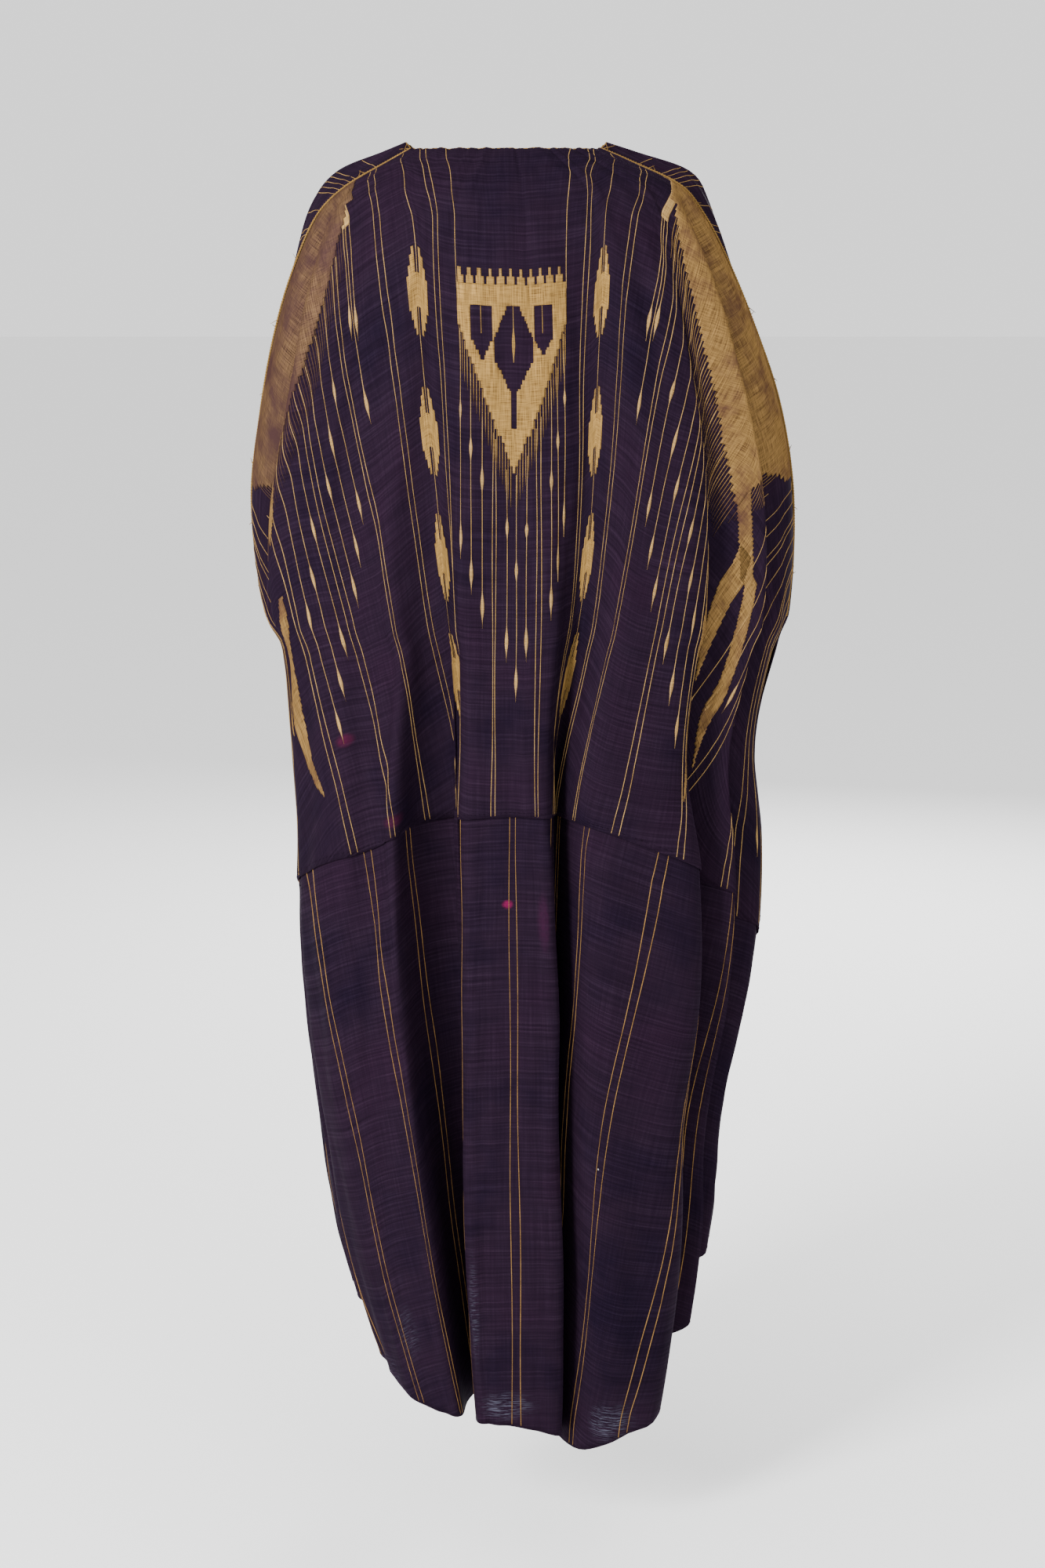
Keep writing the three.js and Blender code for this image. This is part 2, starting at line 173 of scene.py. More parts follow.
# %% Where a fold line crosses the level rows
def fold_points(line, side, z):
    """Points of one fold line on the level rows z, on the left (side -1) or right (side 1). The line
    goes round the outline by an angle, a row sags towards the side line, and the point is moved out
    from the middle by the line's own depth."""
    width = "left" if side < 0 else "right"
    drop = read(LEVEL_HEIGHTS, LEVEL_DROPS[width], z)
    lobe_drop = read(LEVEL_HEIGHTS, LEVEL_DROPS[width + "_lobe"], z)
    at = read(FOLD_HEIGHTS, line[1], z)
    quarter = math.pi / 2
    edge = np.minimum(outline("edge", z) / outline(width, z), 1)
    edge_angle = math.pi - np.arcsin(edge ** (1 / BOXY_X))
    angle = np.where(at <= 1, at * quarter, quarter + (edge_angle - quarter) * (at - 1))
    across, along = np.sin(angle), np.abs(np.cos(angle))
    lobe = np.where(at < 1, lobe_drop * np.sin(2 * angle) ** 2, 0)
    height = z - drop * (1 - along) - lobe
    depth = np.where(at < 1, -outline("back", height), outline("front", height))
    x = side * outline(width, height) * across**BOXY_X
    side_y = outline("side_y", height)
    y = side_y + (depth - side_y) * along**BOXY_Y
    roll_at = np.clip((at - 1) / ROLL_REACH, 0, 1)
    roll = np.sin(math.pi * roll_at) * read(ROLL_HEIGHTS, ROLL_SHARE, height)
    out = read(FOLD_HEIGHTS, line[2], height) + ROLL_OUT * roll
    stretch = 1 + out / np.hypot(x, y)
    return np.stack([x * stretch, y * stretch, height + ROLL_UP * roll], axis=-1)


ACROSS = 12  # columns of the sheet between one fold line and the next
LEFT_LINES = list(reversed([*BACK_LEFT, SIDE, *FRONT]))
RIGHT_LINES = [*BACK_RIGHT, SIDE, *FRONT]
SEGMENTS = len(LEFT_LINES) + len(RIGHT_LINES)
LEFT_SIDE, RIGHT_SIDE = len(FRONT) * ACROSS, (SEGMENTS - len(FRONT)) * ACROSS
MIDDLE = len(LEFT_LINES) * ACROSS
COLUMN_AT = np.arange(SEGMENTS * ACROSS + 1) / ACROSS  # where each column lies, in fold lines


def outward(points):
    """Unit normals of a grid whose columns run from the left front round the back to the right front:
    the cross product of the ways down and across."""
    down, across = np.gradient(points, axis=0), np.gradient(points, axis=1)
    normal = np.cross(down, across)
    return normal / np.maximum(np.linalg.norm(normal, axis=2, keepdims=True), 1e-9)


# %% [markdown]
# ## Creases and slack
# Between its big folds real cloth is never quite smooth: it keeps short pleats from the way it is worn
# and goes slightly slack where nothing pulls on it. Both are added to the finished grid as soft troughs,
# ridges and waves, which leaves the fold table short and easy to correct.

# %% Creases and the hanging cloth
# Pleats (-) and ridges (+) between the fold lines: place, counted in fold lines from the middle of the
# back, and how far it stands out, both at the five heights, then its half width in fold lines.
CREASES = [
    ([-2, -2, -2, -1.95, -2], [0, 0, 5, 14, 12], 0.16),
    ([-1.6, -1.6, -1.6, -1.6, -1.6], [0, 0, -4, -9, -7], 0.14),
    ([-2.5, -2.5, -2.5, -2.55, -2.5], [0, 0, -8, -20, -16], 0.34),
    ([-3.4, -3.4, -3.4, -3.5, -3.4], [0, -2, -3, -2, -3], 0.16),
    ([-4.4, -4.4, -4.5, -4.5, -4.4], [0, 2, 3, 3, 2], 0.15),
    ([-5.3, -5.3, -5.4, -5.4, -5.5], [0, -3, -4, -3, -3], 0.2),
    ([0.5, 0.5, 0.55, 0.6, 0.5], [-1, -1, 0, -2, -2], 0.12),
    ([1.3, 1.3, 1.3, 1.3, 1.2], [0, 0, 0, -5, -3], 0.12),
    ([-0.55, -0.55, -0.5, -0.5, -0.6], [0, -1, -1, -2, -3], 0.14),
    ([3.4, 3.4, 3.4, 3.4, 3.5], [0, -2, -2, -3, -3], 0.12),
    ([3.7, 3.7, 3.7, 3.75, 3.7], [0, 2, 2, 2, 3], 0.12),
    ([4.5, 4.5, 4.5, 4.5, 4.5], [0, -3, -6, -6, -4], 0.18),
    ([6.4, 6.4, 6.4, 6.5, 6.4], [0, 3, 6, 4, 4], 0.14),
]
# Small slack waves all over: height in millimetres, turns for each fold line, turns for each metre down.
WAVES = [(0.9, 0.83, 2.3), (0.6, 1.47, -3.7), (0.45, 2.3, 5.3)]
WAVE_LEAN, WAVE_DRIFT = 0.35, 0.21  # how much of the one direction's turns is mixed into the other's


def slack(z):
    """How far the cloth stands out from its fold lines: each crease is a bell curve across, and each
    wave the product of a sine across and a sine down."""
    from_middle = COLUMN_AT - len(LEFT_LINES)
    z = np.asarray(z, float)[:, None]
    out = sum(read(FOLD_HEIGHTS, deep, z) * np.exp(-(((from_middle - read(FOLD_HEIGHTS, at, z)) / half) ** 2))
              for at, deep, half in CREASES)
    turn = 2 * math.pi
    for high, across, down in WAVES:
        sideways = np.sin(turn * (across * from_middle + WAVE_LEAN * down * z * MM))
        out = out + high * sideways * np.sin(turn * (down * z * MM + WAVE_DRIFT * across * from_middle))
    return out


def hang(z):
    """The grid of the hanging cloth for level rows z: rows by columns by x, y, z, in millimetres."""
    lines = [fold_points(line, -1, z) for line in LEFT_LINES]
    lines.append(fold_points(BACK_MIDDLE, 1, z))
    lines += [fold_points(line, 1, z) for line in RIGHT_LINES]
    grid = curve_through(np.stack(lines, axis=1), COLUMN_AT)
    return grid + outward(grid) * slack(z)[:, :, None]


# %% [markdown]
# ## The two widths of cloth
# The upper strip is one piece from front edge to front edge, sewn to itself along each shoulder and
# open below that for a hand. In Blender it is one grid whose side columns are doubled where the cloth
# is parted. The lower strip is a plain grid. Both get their small thickness from a Solidify modifier,
# which keeps the sheet easy to shape while it is still a single surface.

# %% Rows of the upper and the lower strip
WALL = 1.6  # the frame's cloth wall
CLOTH = 0.9  # thickness of the sheets here
SEAM_GAP = 0.3
SLIT_GAPE = 60
LAP = 12
LAP_LIFT = WALL + 0.7
ease = np.linspace(0, 1, 61)[:-1]
ease = ease * ease * 0.65 + ease * 0.35  # rows lie closer together where the shoulders turn
upper_rows = np.concatenate([
    NECK + (WRIST - NECK) * ease,
    np.linspace(WRIST, SLIT_END, 19)[:-1],
    np.linspace(SLIT_END, WAIST, 19),
])
CORNER = int(np.searchsorted(-upper_rows, -WRIST))  # row where the sewn shoulder ends
SLIT_ROW = int(np.searchsorted(-upper_rows, -SLIT_END))
lower_rows = np.linspace(WAIST, HEM, 92)


def part_the_sides(points):
    """Opens the side lines: a hair along the shoulder seam, and wider at the hand slit, where the gape
    is half a sine wave. Returns the left front, back and right front as three grids."""
    down = np.clip((upper_rows - WRIST) / (SLIT_END - WRIST), 0, 1)
    gape = SLIT_GAPE * np.sin(math.pi * down)[:, None]
    sewn = (upper_rows > SLIT_END)[:, None] * SEAM_GAP
    panels = [points[:, : LEFT_SIDE + 1], points[:, LEFT_SIDE : RIGHT_SIDE + 1], points[:, RIGHT_SIDE:]]
    panels = [panel.copy() for panel in panels]
    reach = 2 * ACROSS
    fade = (1 - np.arange(reach) / reach) ** 2
    for panel, at_end, side in ((0, True, LEFT_SIDE), (1, False, LEFT_SIDE),
                                (1, True, RIGHT_SIDE), (2, False, RIGHT_SIDE)):
        way = -1 if at_end else 1
        inner = curve_column(points, side + way * 2 * ACROSS / 3)
        inwards = inner - points[:, side]
        inwards /= np.linalg.norm(inwards, axis=1, keepdims=True)
        shift = gape * fade / 2
        shift[:, :1] += sewn / 2
        columns = np.arange(reach) * way + (-1 if at_end else 0)
        panels[panel][:, columns] += inwards[:, None] * shift[:, :, None]
    return panels


def curve_column(points, column):
    """The points between two columns of a grid, at a column number that isn't whole."""
    i, s = int(column), column - int(column)
    return points[:, i] * (1 - s) + points[:, i + 1] * s


lap_level = lower_rows[:2]
waist_row, next_row = hang(lap_level)
lap_share = LAP / (waist_row[MIDDLE, 2] - next_row[MIDDLE, 2])
lap_row = waist_row + (next_row - waist_row) * lap_share
upper_grid = hang(upper_rows)
panels = part_the_sides(upper_grid)
lap_parts = [lap_row[: LEFT_SIDE + 1], lap_row[LEFT_SIDE : RIGHT_SIDE + 1], lap_row[RIGHT_SIDE:]]
panels = [np.concatenate([panel, lap[None]]) for panel, lap in zip(panels, lap_parts)]
lift_from = (SLIT_END + WAIST) / 2  # the upper width begins to lift halfway from the slit to the waist
lift = np.clip((np.append(upper_rows, WAIST) - lift_from) / (WAIST - lift_from), 0, 1)
panels = [panel + outward(panel) * (lift * LAP_LIFT)[:, None, None] for panel in panels]
left_front, upper_back, right_front = panels
lower_grid = hang(lower_rows)
print("upper grid:", upper_grid.shape, "lower grid:", lower_grid.shape)


# %% Meshes from grids
def grid_faces(index):
    """Quads between neighbouring rows and columns of a grid of vertex numbers, facing outwards."""
    corners = [index[:-1, :-1], index[1:, :-1], index[1:, 1:], index[:-1, 1:]]
    return np.stack(corners, axis=-1).reshape(-1, 4)


def mesh_from(name, vertices, faces, uv=None):
    """A mesh object from arrays of vertices in millimetres and of quads; vertices that no quad uses are
    left out. uv, if given, is one pair for each vertex, in metres of cloth."""
    used, faces = np.unique(faces, return_inverse=True)
    faces = faces.reshape(-1, 4)
    mesh = bpy.data.meshes.new(name)
    mesh.from_pydata((vertices[used] * MM).tolist(), [], faces.tolist())
    if uv is not None:
        layer = mesh.uv_layers.new(name="cloth")
        layer.data.foreach_set("uv", (uv[used][faces.ravel()] * MM).astype(np.float32).ravel())
    mesh.polygons.foreach_set("use_smooth", np.ones(len(faces), bool))
    mesh.update()
    piece = bpy.data.objects.new(name, mesh)
    bpy.context.scene.collection.objects.link(piece)
    return piece


def thicken(piece, thickness):
    """Adds half the thickness, in millimetres, to either side of a sheet."""
    solid = piece.modifiers.new("cloth thickness", "SOLIDIFY")
    solid.thickness = thickness * MM
    solid.offset = 0
    solid.use_even_offset = False
    return piece


def arc_length(points, axis):
    """Distance along a grid's rows or columns, starting at zero."""
    steps = np.linalg.norm(np.diff(points, axis=axis), axis=2)
    start = np.zeros_like(np.take(steps, [0], axis=axis))
    return np.concatenate([start, np.cumsum(steps, axis=axis)], axis=axis)


def welded(panels, seam_row):
    """Numbers the vertices of three panels side by side; from seam_row down, neighbours share a column."""
    columns = [panel.shape[1] for panel in panels]
    index = np.arange(panels[0].shape[0] * sum(columns)).reshape(-1, sum(columns))
    for left in np.cumsum(columns)[:-1] - 1:
        index[seam_row:, left + 1] = index[seam_row:, left]
    splits = np.split(index, np.cumsum(columns)[:-1], axis=1)
    return np.concatenate([grid_faces(split) for split in splits])


# %% [markdown]
# ## Cloth coordinates
# The pattern is woven, so it follows the threads and not the folds. Each point of the back gets the
# cloth's own coordinates: how far it lies from the cloth's middle line, and how far down from the top
# edge. With those two numbers a motif can be charted flat, as on the loom, and laid on the hanging form.

# %% Distance from the middle line
NECK_HALF, HALF_WIDTH = 107, 690  # half the neck opening, and the strip's half width at the side lines


def strayed(line, side_sign, height):
    """How far a fold line lies outside the straight way between the heights of its table, where the
    outline bulges or draws in. The threads keep to the straight way, so they cross the fold there."""
    along = fold_points(line, side_sign, np.linspace(NECK, HEM, 200))
    heights, x = -along[:, 2], side_sign * along[:, 0]
    knots = np.interp(-np.array(FOLD_HEIGHTS[:4], float), heights, x)
    top = knots[0] + (knots[0] - knots[1]) * FOLD_HEIGHTS[0] / (FOLD_HEIGHTS[1] - FOLD_HEIGHTS[0])
    straight = read([0, *FOLD_HEIGHTS[:4]], [top, *knots], height)
    return np.where(height > FOLD_HEIGHTS[3], np.interp(-height, heights, x) - straight, 0)


FLAT_DEPTHS = [20, 75]  # above the first depth the cloth lies flat, and below the second it is folded
SIDE_SHARE = 0.012  # each fold line keeps at least this share of the side's distance from the next one
LEAST_STEP = 0.01  # and the distances always grow by this much, so that no two threads cross


def own_width(half, lines, side_sign, z, sewn_to):
    """Distance from the middle line at every point of half[row, column], from the middle of the back to
    a side line. The side line lies at half the neck plus the seam's length, down to row sewn_to. The fold
    lines follow their table and how far they stray, and between them the distance grows with arc length.
    Next to the neck the cloth is flat, and there it grows with arc length all the way."""
    side = np.full(len(z), float(HALF_WIDTH))
    if sewn_to:
        seam = arc_length(half[:, -1:], 0)[:, 0]
        side[:sewn_to] = NECK_HALF + (HALF_WIDTH - NECK_HALF) * seam[:sewn_to] / seam[sewn_to]
    across = arc_length(half, 1)
    knots = np.arange(len(lines) + 2) * ACROSS
    widths = [read(FOLD_HEIGHTS, side_sign * np.array(BACK_MIDDLE[3]), half[:, 0, 2])]
    for line, knot in zip(lines, knots[1:]):
        height = half[:, knot, 2]
        widths.append(read(FOLD_HEIGHTS, line[3], height) + strayed(line, side_sign, height))
    most = side[:, None] * (1 - SIDE_SHARE * np.arange(len(lines) + 1, 0, -1))
    widths = np.minimum(np.stack(widths, axis=1), most)
    widths = np.concatenate([widths, side[:, None]], axis=1)
    widths = np.maximum.accumulate(widths + np.arange(len(lines) + 2) * LEAST_STEP, axis=1)
    by_folds = np.stack([np.interp(a, a[knots], row) for a, row in zip(across, widths)])
    even = side[:, None] * across / across[:, -1:]
    flat_part = read(FLAT_DEPTHS, [1, 0], -half[:, :, 2])
    return by_folds + (even - by_folds) * flat_part, side


def back_widths(back, z, sewn_to):
    """Signed distance from the middle line over the whole back, negative on the left, smoothed a little
    along each row so that the threads turn gently from fold to fold."""
    middle = MIDDLE - LEFT_SIDE
    left, left_side = own_width(back[:, middle::-1], BACK_LEFT, -1, z, sewn_to)
    right, right_side = own_width(back[:, middle:], BACK_RIGHT, 1, z, sewn_to)
    widths = np.concatenate([-left[:, :0:-1], right], axis=1)
    reach = ACROSS // 2
    ends = np.arange(reach, 0, -1)
    head = 2 * widths[:, :1] - widths[:, ends]
    tail = 2 * widths[:, -1:] - widths[:, -1 - ends[::-1]]
    padded = np.concatenate([head, widths, tail], axis=1)
    window = np.lib.stride_tricks.sliding_window_view(padded, 2 * reach + 1, axis=1)
    return window.mean(axis=2), left_side, right_side


# %% A map from cloth coordinates to the hanging cloth
FRONT_EDGE = 1290  # distance round the cloth from its middle line to a front edge


def front_widths(front, side, back_side):
    """Distance from the middle line over a front panel. It grows evenly from the side line to the front
    edge; on the sewn shoulder, the front's own thread meets the back's thread at the seam."""
    length = arc_length(front, 1)
    share = length / length[:, -1:]
    if side < 0:
        share = 1 - share
    at_side = FRONT_EDGE - (back_side - NECK_HALF) * (FRONT_EDGE - HALF_WIDTH) / (HALF_WIDTH - NECK_HALF)
    return side * (at_side[:, None] + (FRONT_EDGE - at_side[:, None]) * share)


def between_rows(grid, count):
    """The grid with count - 1 rows added between each two, on the straight line between them."""
    at = np.linspace(0, len(grid) - 1, (len(grid) - 1) * count + 1)
    i = np.minimum(at.astype(int), len(grid) - 2)
    s = (at - i).reshape(-1, *[1] * (grid.ndim - 1))
    return grid[i] * (1 - s) + grid[i + 1] * s


class ClothMap:
    """Points and normals of a hanging panel on an even net of cloth coordinates, in millimetres."""

    STEP_ACROSS, STEP_DOWN, ROWS_BETWEEN = 2.5, 3.0, 4

    def __init__(self, panel, widths, sewn_to=0):
        """Each thread down the cloth is found row by row, with rows added between the sheet's own so that
        a slanting thread keeps to its facets. It starts on the seam where the panel's own edge has the
        thread's distance from the middle, and is then divided evenly along its length."""
        cloth = between_rows(np.concatenate([panel, outward(panel)], axis=2), self.ROWS_BETWEEN)
        widths = between_rows(widths, self.ROWS_BETWEEN)
        sewn_to = sewn_to * self.ROWS_BETWEEN
        rows = np.arange(len(cloth))
        low, high = widths[:, 0], widths[:, -1]
        self.across = np.arange(low[-1], high[-1] + 1, self.STEP_ACROSS)
        columns = np.stack([np.interp(self.across, w, np.arange(w.size)) for w in widths])
        whole = np.minimum(columns.astype(int), cloth.shape[1] - 2)
        part = (columns - whole)[:, :, None]
        threads = cloth[rows[:, None], whole] * (1 - part) + cloth[rows[:, None], whole + 1] * part
        sewn = slice(0, sewn_to + 1)
        lengths = []
        for k, w in enumerate(self.across):
            start, column = 0.0, 0
            if sewn_to and w < low[0]:
                start = np.interp(-w, -low[sewn], rows[sewn])
            if sewn_to and w > high[0]:
                start, column = np.interp(w, high[sewn], rows[sewn]), -1
            if start > 0:
                first = int(start)
                step = cloth[first + 1, column] - cloth[first, column]
                threads[: first + 1, k] = cloth[first, column] + step * (start - first)
            lengths.append(arc_length(threads[:, k : k + 1, :3], 0)[:, 0])
        self.end = np.array([length[-1] for length in lengths])
        self.row_lengths = np.stack(lengths, axis=1)[:: self.ROWS_BETWEEN]
        self.down = np.arange(0, self.end.max() + self.STEP_DOWN, self.STEP_DOWN)
        self.net = np.stack([
            np.stack([np.interp(self.down, length, threads[:, k, c]) for c in range(6)], axis=-1)
            for k, length in enumerate(lengths)
        ])

    def at(self, w, v, lift=0.0):
        """Points at distance w from the middle line and v down from the top edge, lift off the cloth."""
        w, v, lift = np.broadcast_arrays(*(np.asarray(a, float) for a in (w, v, lift)))
        i = np.clip((w - self.across[0]) / self.STEP_ACROSS, 0, len(self.across) - 1.001)
        j = np.clip(v / self.STEP_DOWN, 0, len(self.down) - 1.001)
        i0, j0 = i.astype(int), j.astype(int)
        s, t = (i - i0)[..., None], (j - j0)[..., None]
        top = self.net[i0, j0] * (1 - s) + self.net[i0 + 1, j0] * s
        low = self.net[i0, j0 + 1] * (1 - s) + self.net[i0 + 1, j0 + 1] * s
        both = top * (1 - t) + low * t
        normal = both[..., 3:] / np.maximum(np.linalg.norm(both[..., 3:], axis=-1, keepdims=True), 1e-9)
        return both[..., :3] + normal * lift[..., None]

    def down_at(self, w, drop):
        """How far down the thread at w lies the height "drop" below the neck."""
        heights = -self.at(w, self.down)[:, 2]
        return float(np.interp(drop, heights, self.down))

    def length_at(self, w):
        """Length of the thread at w, from the top edge to the bottom edge."""
        return float(np.interp(w, self.across, self.end))

    def both_at(self, widths):
        """Cloth coordinates of the panel's own grid, whose distances from the middle are widths."""
        pairs = zip(widths, self.row_lengths)
        down = np.stack([np.interp(row, self.across, length) for row, length in pairs])
        return np.stack([widths, down], axis=-1)


upper_z = np.append(upper_rows, WAIST - LAP)
back_grid, left_side, right_side = back_widths(upper_back, upper_z, CORNER)
upper_widths = [front_widths(left_front, -1, left_side), back_grid, front_widths(right_front, 1, right_side)]
upper_maps = [ClothMap(panel, widths, CORNER) for panel, widths in zip(panels, upper_widths)]
upper_map, upper_fronts = upper_maps[1], {-1: upper_maps[0], 1: upper_maps[2]}
PANEL_COLUMNS = [slice(0, LEFT_SIDE + 1), slice(LEFT_SIDE, RIGHT_SIDE + 1), slice(RIGHT_SIDE, None)]
lower_panels = [lower_grid[:, columns] for columns in PANEL_COLUMNS]
whole_side = np.full(len(lower_rows), float(HALF_WIDTH))
lower_widths = [front_widths(lower_panels[0], -1, whole_side), back_widths(lower_panels[1], lower_rows, 0)[0],
                front_widths(lower_panels[2], 1, whole_side)]
lower_maps = [ClothMap(panel, widths) for panel, widths in zip(lower_panels, lower_widths)]
lower_map, lower_fronts = lower_maps[1], {-1: lower_maps[0], 1: lower_maps[2]}
print("upper width, length at the middle:", round(upper_map.length_at(0)), "mm")
print("lower width, length at the middle:", round(lower_map.length_at(0)), "mm")

# %% [markdown]
# ## The two sheets
# Each width of cloth becomes one mesh whose UV map holds its cloth coordinates in metres. The materials
# read their weave from that map, so the threads follow the cloth through every fold.

# %% The two sheets
upper_uv = np.concatenate([m.both_at(w) for m, w in zip(upper_maps, upper_widths)], axis=1).reshape(-1, 2)
upper_points = np.concatenate(panels, axis=1).reshape(-1, 3)
upper_cloth = mesh_from("upper_cloth", upper_points, welded(panels, SLIT_ROW), upper_uv)
lower_uv = [m.both_at(w) for m, w in zip(lower_maps, lower_widths)]
lower_uv = np.concatenate([lower_uv[0][:, :-1], lower_uv[1], lower_uv[2][:, 1:]], axis=1).reshape(-1, 2)
lower_index = np.arange(lower_grid.shape[0] * lower_grid.shape[1]).reshape(lower_grid.shape[:2])
lower_cloth = mesh_from("lower_cloth", lower_grid.reshape(-1, 3), grid_faces(lower_index), lower_uv)
for cloth in (upper_cloth, lower_cloth):
    thicken(cloth, CLOTH)
    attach(cloth, "root")
    print(cloth.name, "has", len(cloth.data.polygons), "faces before it is thickened")
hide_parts("upper_width")
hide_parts("lower_width")

# %% [markdown]
# ## Gold thread woven into the silk
# On the loom the gold is an extra weft or warp thread that lies on top of the silk wherever the pattern
# asks for it. It could be painted on in the material, but real thread stands a little proud and catches
# the light, so each line is a thin closed strip and each motif a thin closed plate, charted in cloth
# coordinates and laid on the folds by the map.

# %% Strips and plates of gold
SKIN = CLOTH / 2  # the outer face of the cloth
GOLD_LOW, GOLD_HIGH = SKIN - 0.15, SKIN + 0.45
LINE_HALF = 0.4  # half the width of a plain gold line
LINE_STEP = 4.0
POINT_LENGTH, POINT_SHARE = 18, 0.15  # a pointed line's taper, and the share of its width left at the tip
SWAY_LENGTH = 47  # a line sways once in 2 pi times this distance
SPINDLE_POWER = 1.6


class Weaving:
    """Collects vertices, faces and cloth coordinates of many small pieces that become one mesh."""

    def __init__(self):
        """Starts empty; count is the number of vertices collected so far."""
        self.vertices, self.faces, self.uv, self.count = [], [], [], 0

    def add(self, points, faces, w, v):
        """Adds one closed piece, whose faces count its own vertices from 0."""
        self.vertices.append(points.reshape(-1, 3))
        self.faces.append(faces + self.count)
        self.uv.append(np.stack([w.ravel(), v.ravel()], axis=1))
        self.count += points.size // 3

    def mesh(self, name, slot="gold_thread"):
        """Makes one object of all that was added; it rides on the robe. slot is not used."""
        made = mesh_from(name, *(np.concatenate(part) for part in (self.vertices, self.faces, self.uv)))
        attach(made, "root")
        print(name, "has", len(made.data.polygons), "faces")
        return made


def swell(v, spindles):
    """Half width of a line along v: the plain line, and for each spindle (middle, length, half width) a
    cosine to the power SPINDLE_POWER that swells and tapers."""
    half = np.full(v.shape, LINE_HALF)
    for middle, length, widest in spindles:
        near = np.clip((v - middle) / length, -0.5, 0.5)
        half = np.maximum(half, widest * np.cos(math.pi * near) ** SPINDLE_POWER)
    return half


def gold_line(weaving, cloth, w, start, end, spindles=(), pointed=False, sway=0.0):
    """One line of gold thread along the cloth from start to end: a flat strip with bevelled sides whose
    width follows swell(). A pointed line tapers to its tip, and sway moves the line from side to side by a
    sine of the distance down."""
    count = max(int((end - start) / LINE_STEP), 2)
    v = np.linspace(start, end, count + 1)
    half = swell(v, spindles)
    if pointed:
        half = half * np.clip((end - v) / POINT_LENGTH, POINT_SHARE, 1)
    middle = w + sway * np.sin(v / SWAY_LENGTH + w)
    offsets = np.array([-1, -0.55, 0.55, 1])
    heights = np.array([GOLD_LOW, GOLD_HIGH, GOLD_HIGH, GOLD_LOW])
    ww = middle[:, None] + half[:, None] * offsets
    vv = np.broadcast_to(v[:, None], ww.shape)
    points = cloth.at(ww, vv, heights)
    index = np.arange(ww.size).reshape(ww.shape)
    ring = np.concatenate([index, index[:, :1]], axis=1)
    faces = grid_faces(ring)
    caps = np.array([index[0], index[-1, ::-1]])
    weaving.add(points, np.concatenate([faces, caps]), ww, vv)


def plate(weaving, cloth, w_edges, v_edges, mask, rise):
    """A thin closed plate: every cell of the chart that is set gets a top and a bottom face, and every
    edge between a set and an empty cell gets a wall. rise is how much higher than a line its top lies."""
    ww, vv = np.meshgrid(w_edges, v_edges, indexing="ij")
    points = np.stack([cloth.at(ww, vv, GOLD_HIGH + rise), cloth.at(ww, vv, GOLD_LOW)])
    top = np.arange(ww.size).reshape(ww.shape)
    low = top + ww.size
    # The four corners of every cell of a grid of vertex numbers
    quad = lambda grid: np.stack([grid[:-1, :-1], grid[1:, :-1], grid[1:, 1:], grid[:-1, 1:]], axis=-1)
    faces = [quad(top)[mask][:, ::-1], quad(low)[mask]]
    padded = np.pad(mask, 1)
    inside = padded[1:-1, 1:-1]
    for shift, a, b in (((0, 1), (0, 0), (0, 1)), ((2, 1), (1, 1), (1, 0)),
                        ((1, 0), (1, 0), (0, 0)), ((1, 2), (0, 1), (1, 1))):
        beside = padded[shift[0] : shift[0] + mask.shape[0], shift[1] : shift[1] + mask.shape[1]]
        i, j = np.nonzero(inside & ~beside)
        ia, ja, ib, jb = i + a[0], j + a[1], i + b[0], j + b[1]
        faces.append(np.stack([top[ia, ja], low[ia, ja], low[ib, jb], top[ib, jb]], axis=-1))
    both = np.stack([ww, ww]), np.stack([vv, vv])
    weaving.add(points, np.concatenate(faces), *both)


def chart(weaving, cloth, shape, w_range, v_range, cell=(1.5, 2.4), rise=0.0):
    """Weaves every cell whose middle lies inside shape(w, v) into a plate."""
    w_edges = np.arange(w_range[0], w_range[1] + cell[0], cell[0])
    v_edges = np.arange(v_range[0], v_range[1] + cell[1], cell[1])
    w, v = np.meshgrid((w_edges[1:] + w_edges[:-1]) / 2, (v_edges[1:] + v_edges[:-1]) / 2, indexing="ij")
    plate(weaving, cloth, w_edges, v_edges, shape(w, v), rise)


# %% [markdown]
# ## The dagger motif of the back
# The motif in the middle of the back is a toothed band over a stepped triangle, with two small windows
# and an open lozenge, and thin threads hang from every step. It is a traditional stepped form, so it is
# charted by a rule for its outline rather than drawn.

# %% Central motif
MOTIF_TOP, BAND_BOTTOM, TRIANGLE_TOP = 154, 176, 197
MOTIF_HALF = 60
STEP_ACROSS, STEP_DOWN = 3.05, 7.9
WINDOWS = [(-44.6, -22.8, 236), (21.9, 42.8, 230)]  # left and right edge, and lowest point
WINDOW_NARROWS = 211  # below this a window's sides step inwards, and the lozenge is at its widest
OPENING_HALF, OPENING_GROWS, OPENING_SHRINKS = 5.5, 15.5, 18  # the open lozenge, from its top down
OPENING_TURNS, OPENING_SLIT, OPENING_END = 233, 267, 301
FIRST_TOOTH, TOOTH_EVERY = -56.5, 10.85
COMB_LEFT, COMB_RIGHT = -59, 57
STUB_HALF, STUB_TOP, STUB_BOTTOM = 1.6, 138, 146
SHOULDER_HALF, SHOULDER_TOP = 4.1, 145


def stepped(v, top, bottom, count):
    """0 above top, then count even steps that reach 1 at bottom."""
    return np.clip(np.ceil((v - top) / (bottom - top) * count), 0, count) / count


def triangle_half(v):
    """Half width of the stepped triangle at v, and nothing past its tip."""
    steps = np.clip(np.floor((v - TRIANGLE_TOP) / STEP_DOWN) + 1, 0, None)
    return MOTIF_HALF - STEP_ACROSS * steps


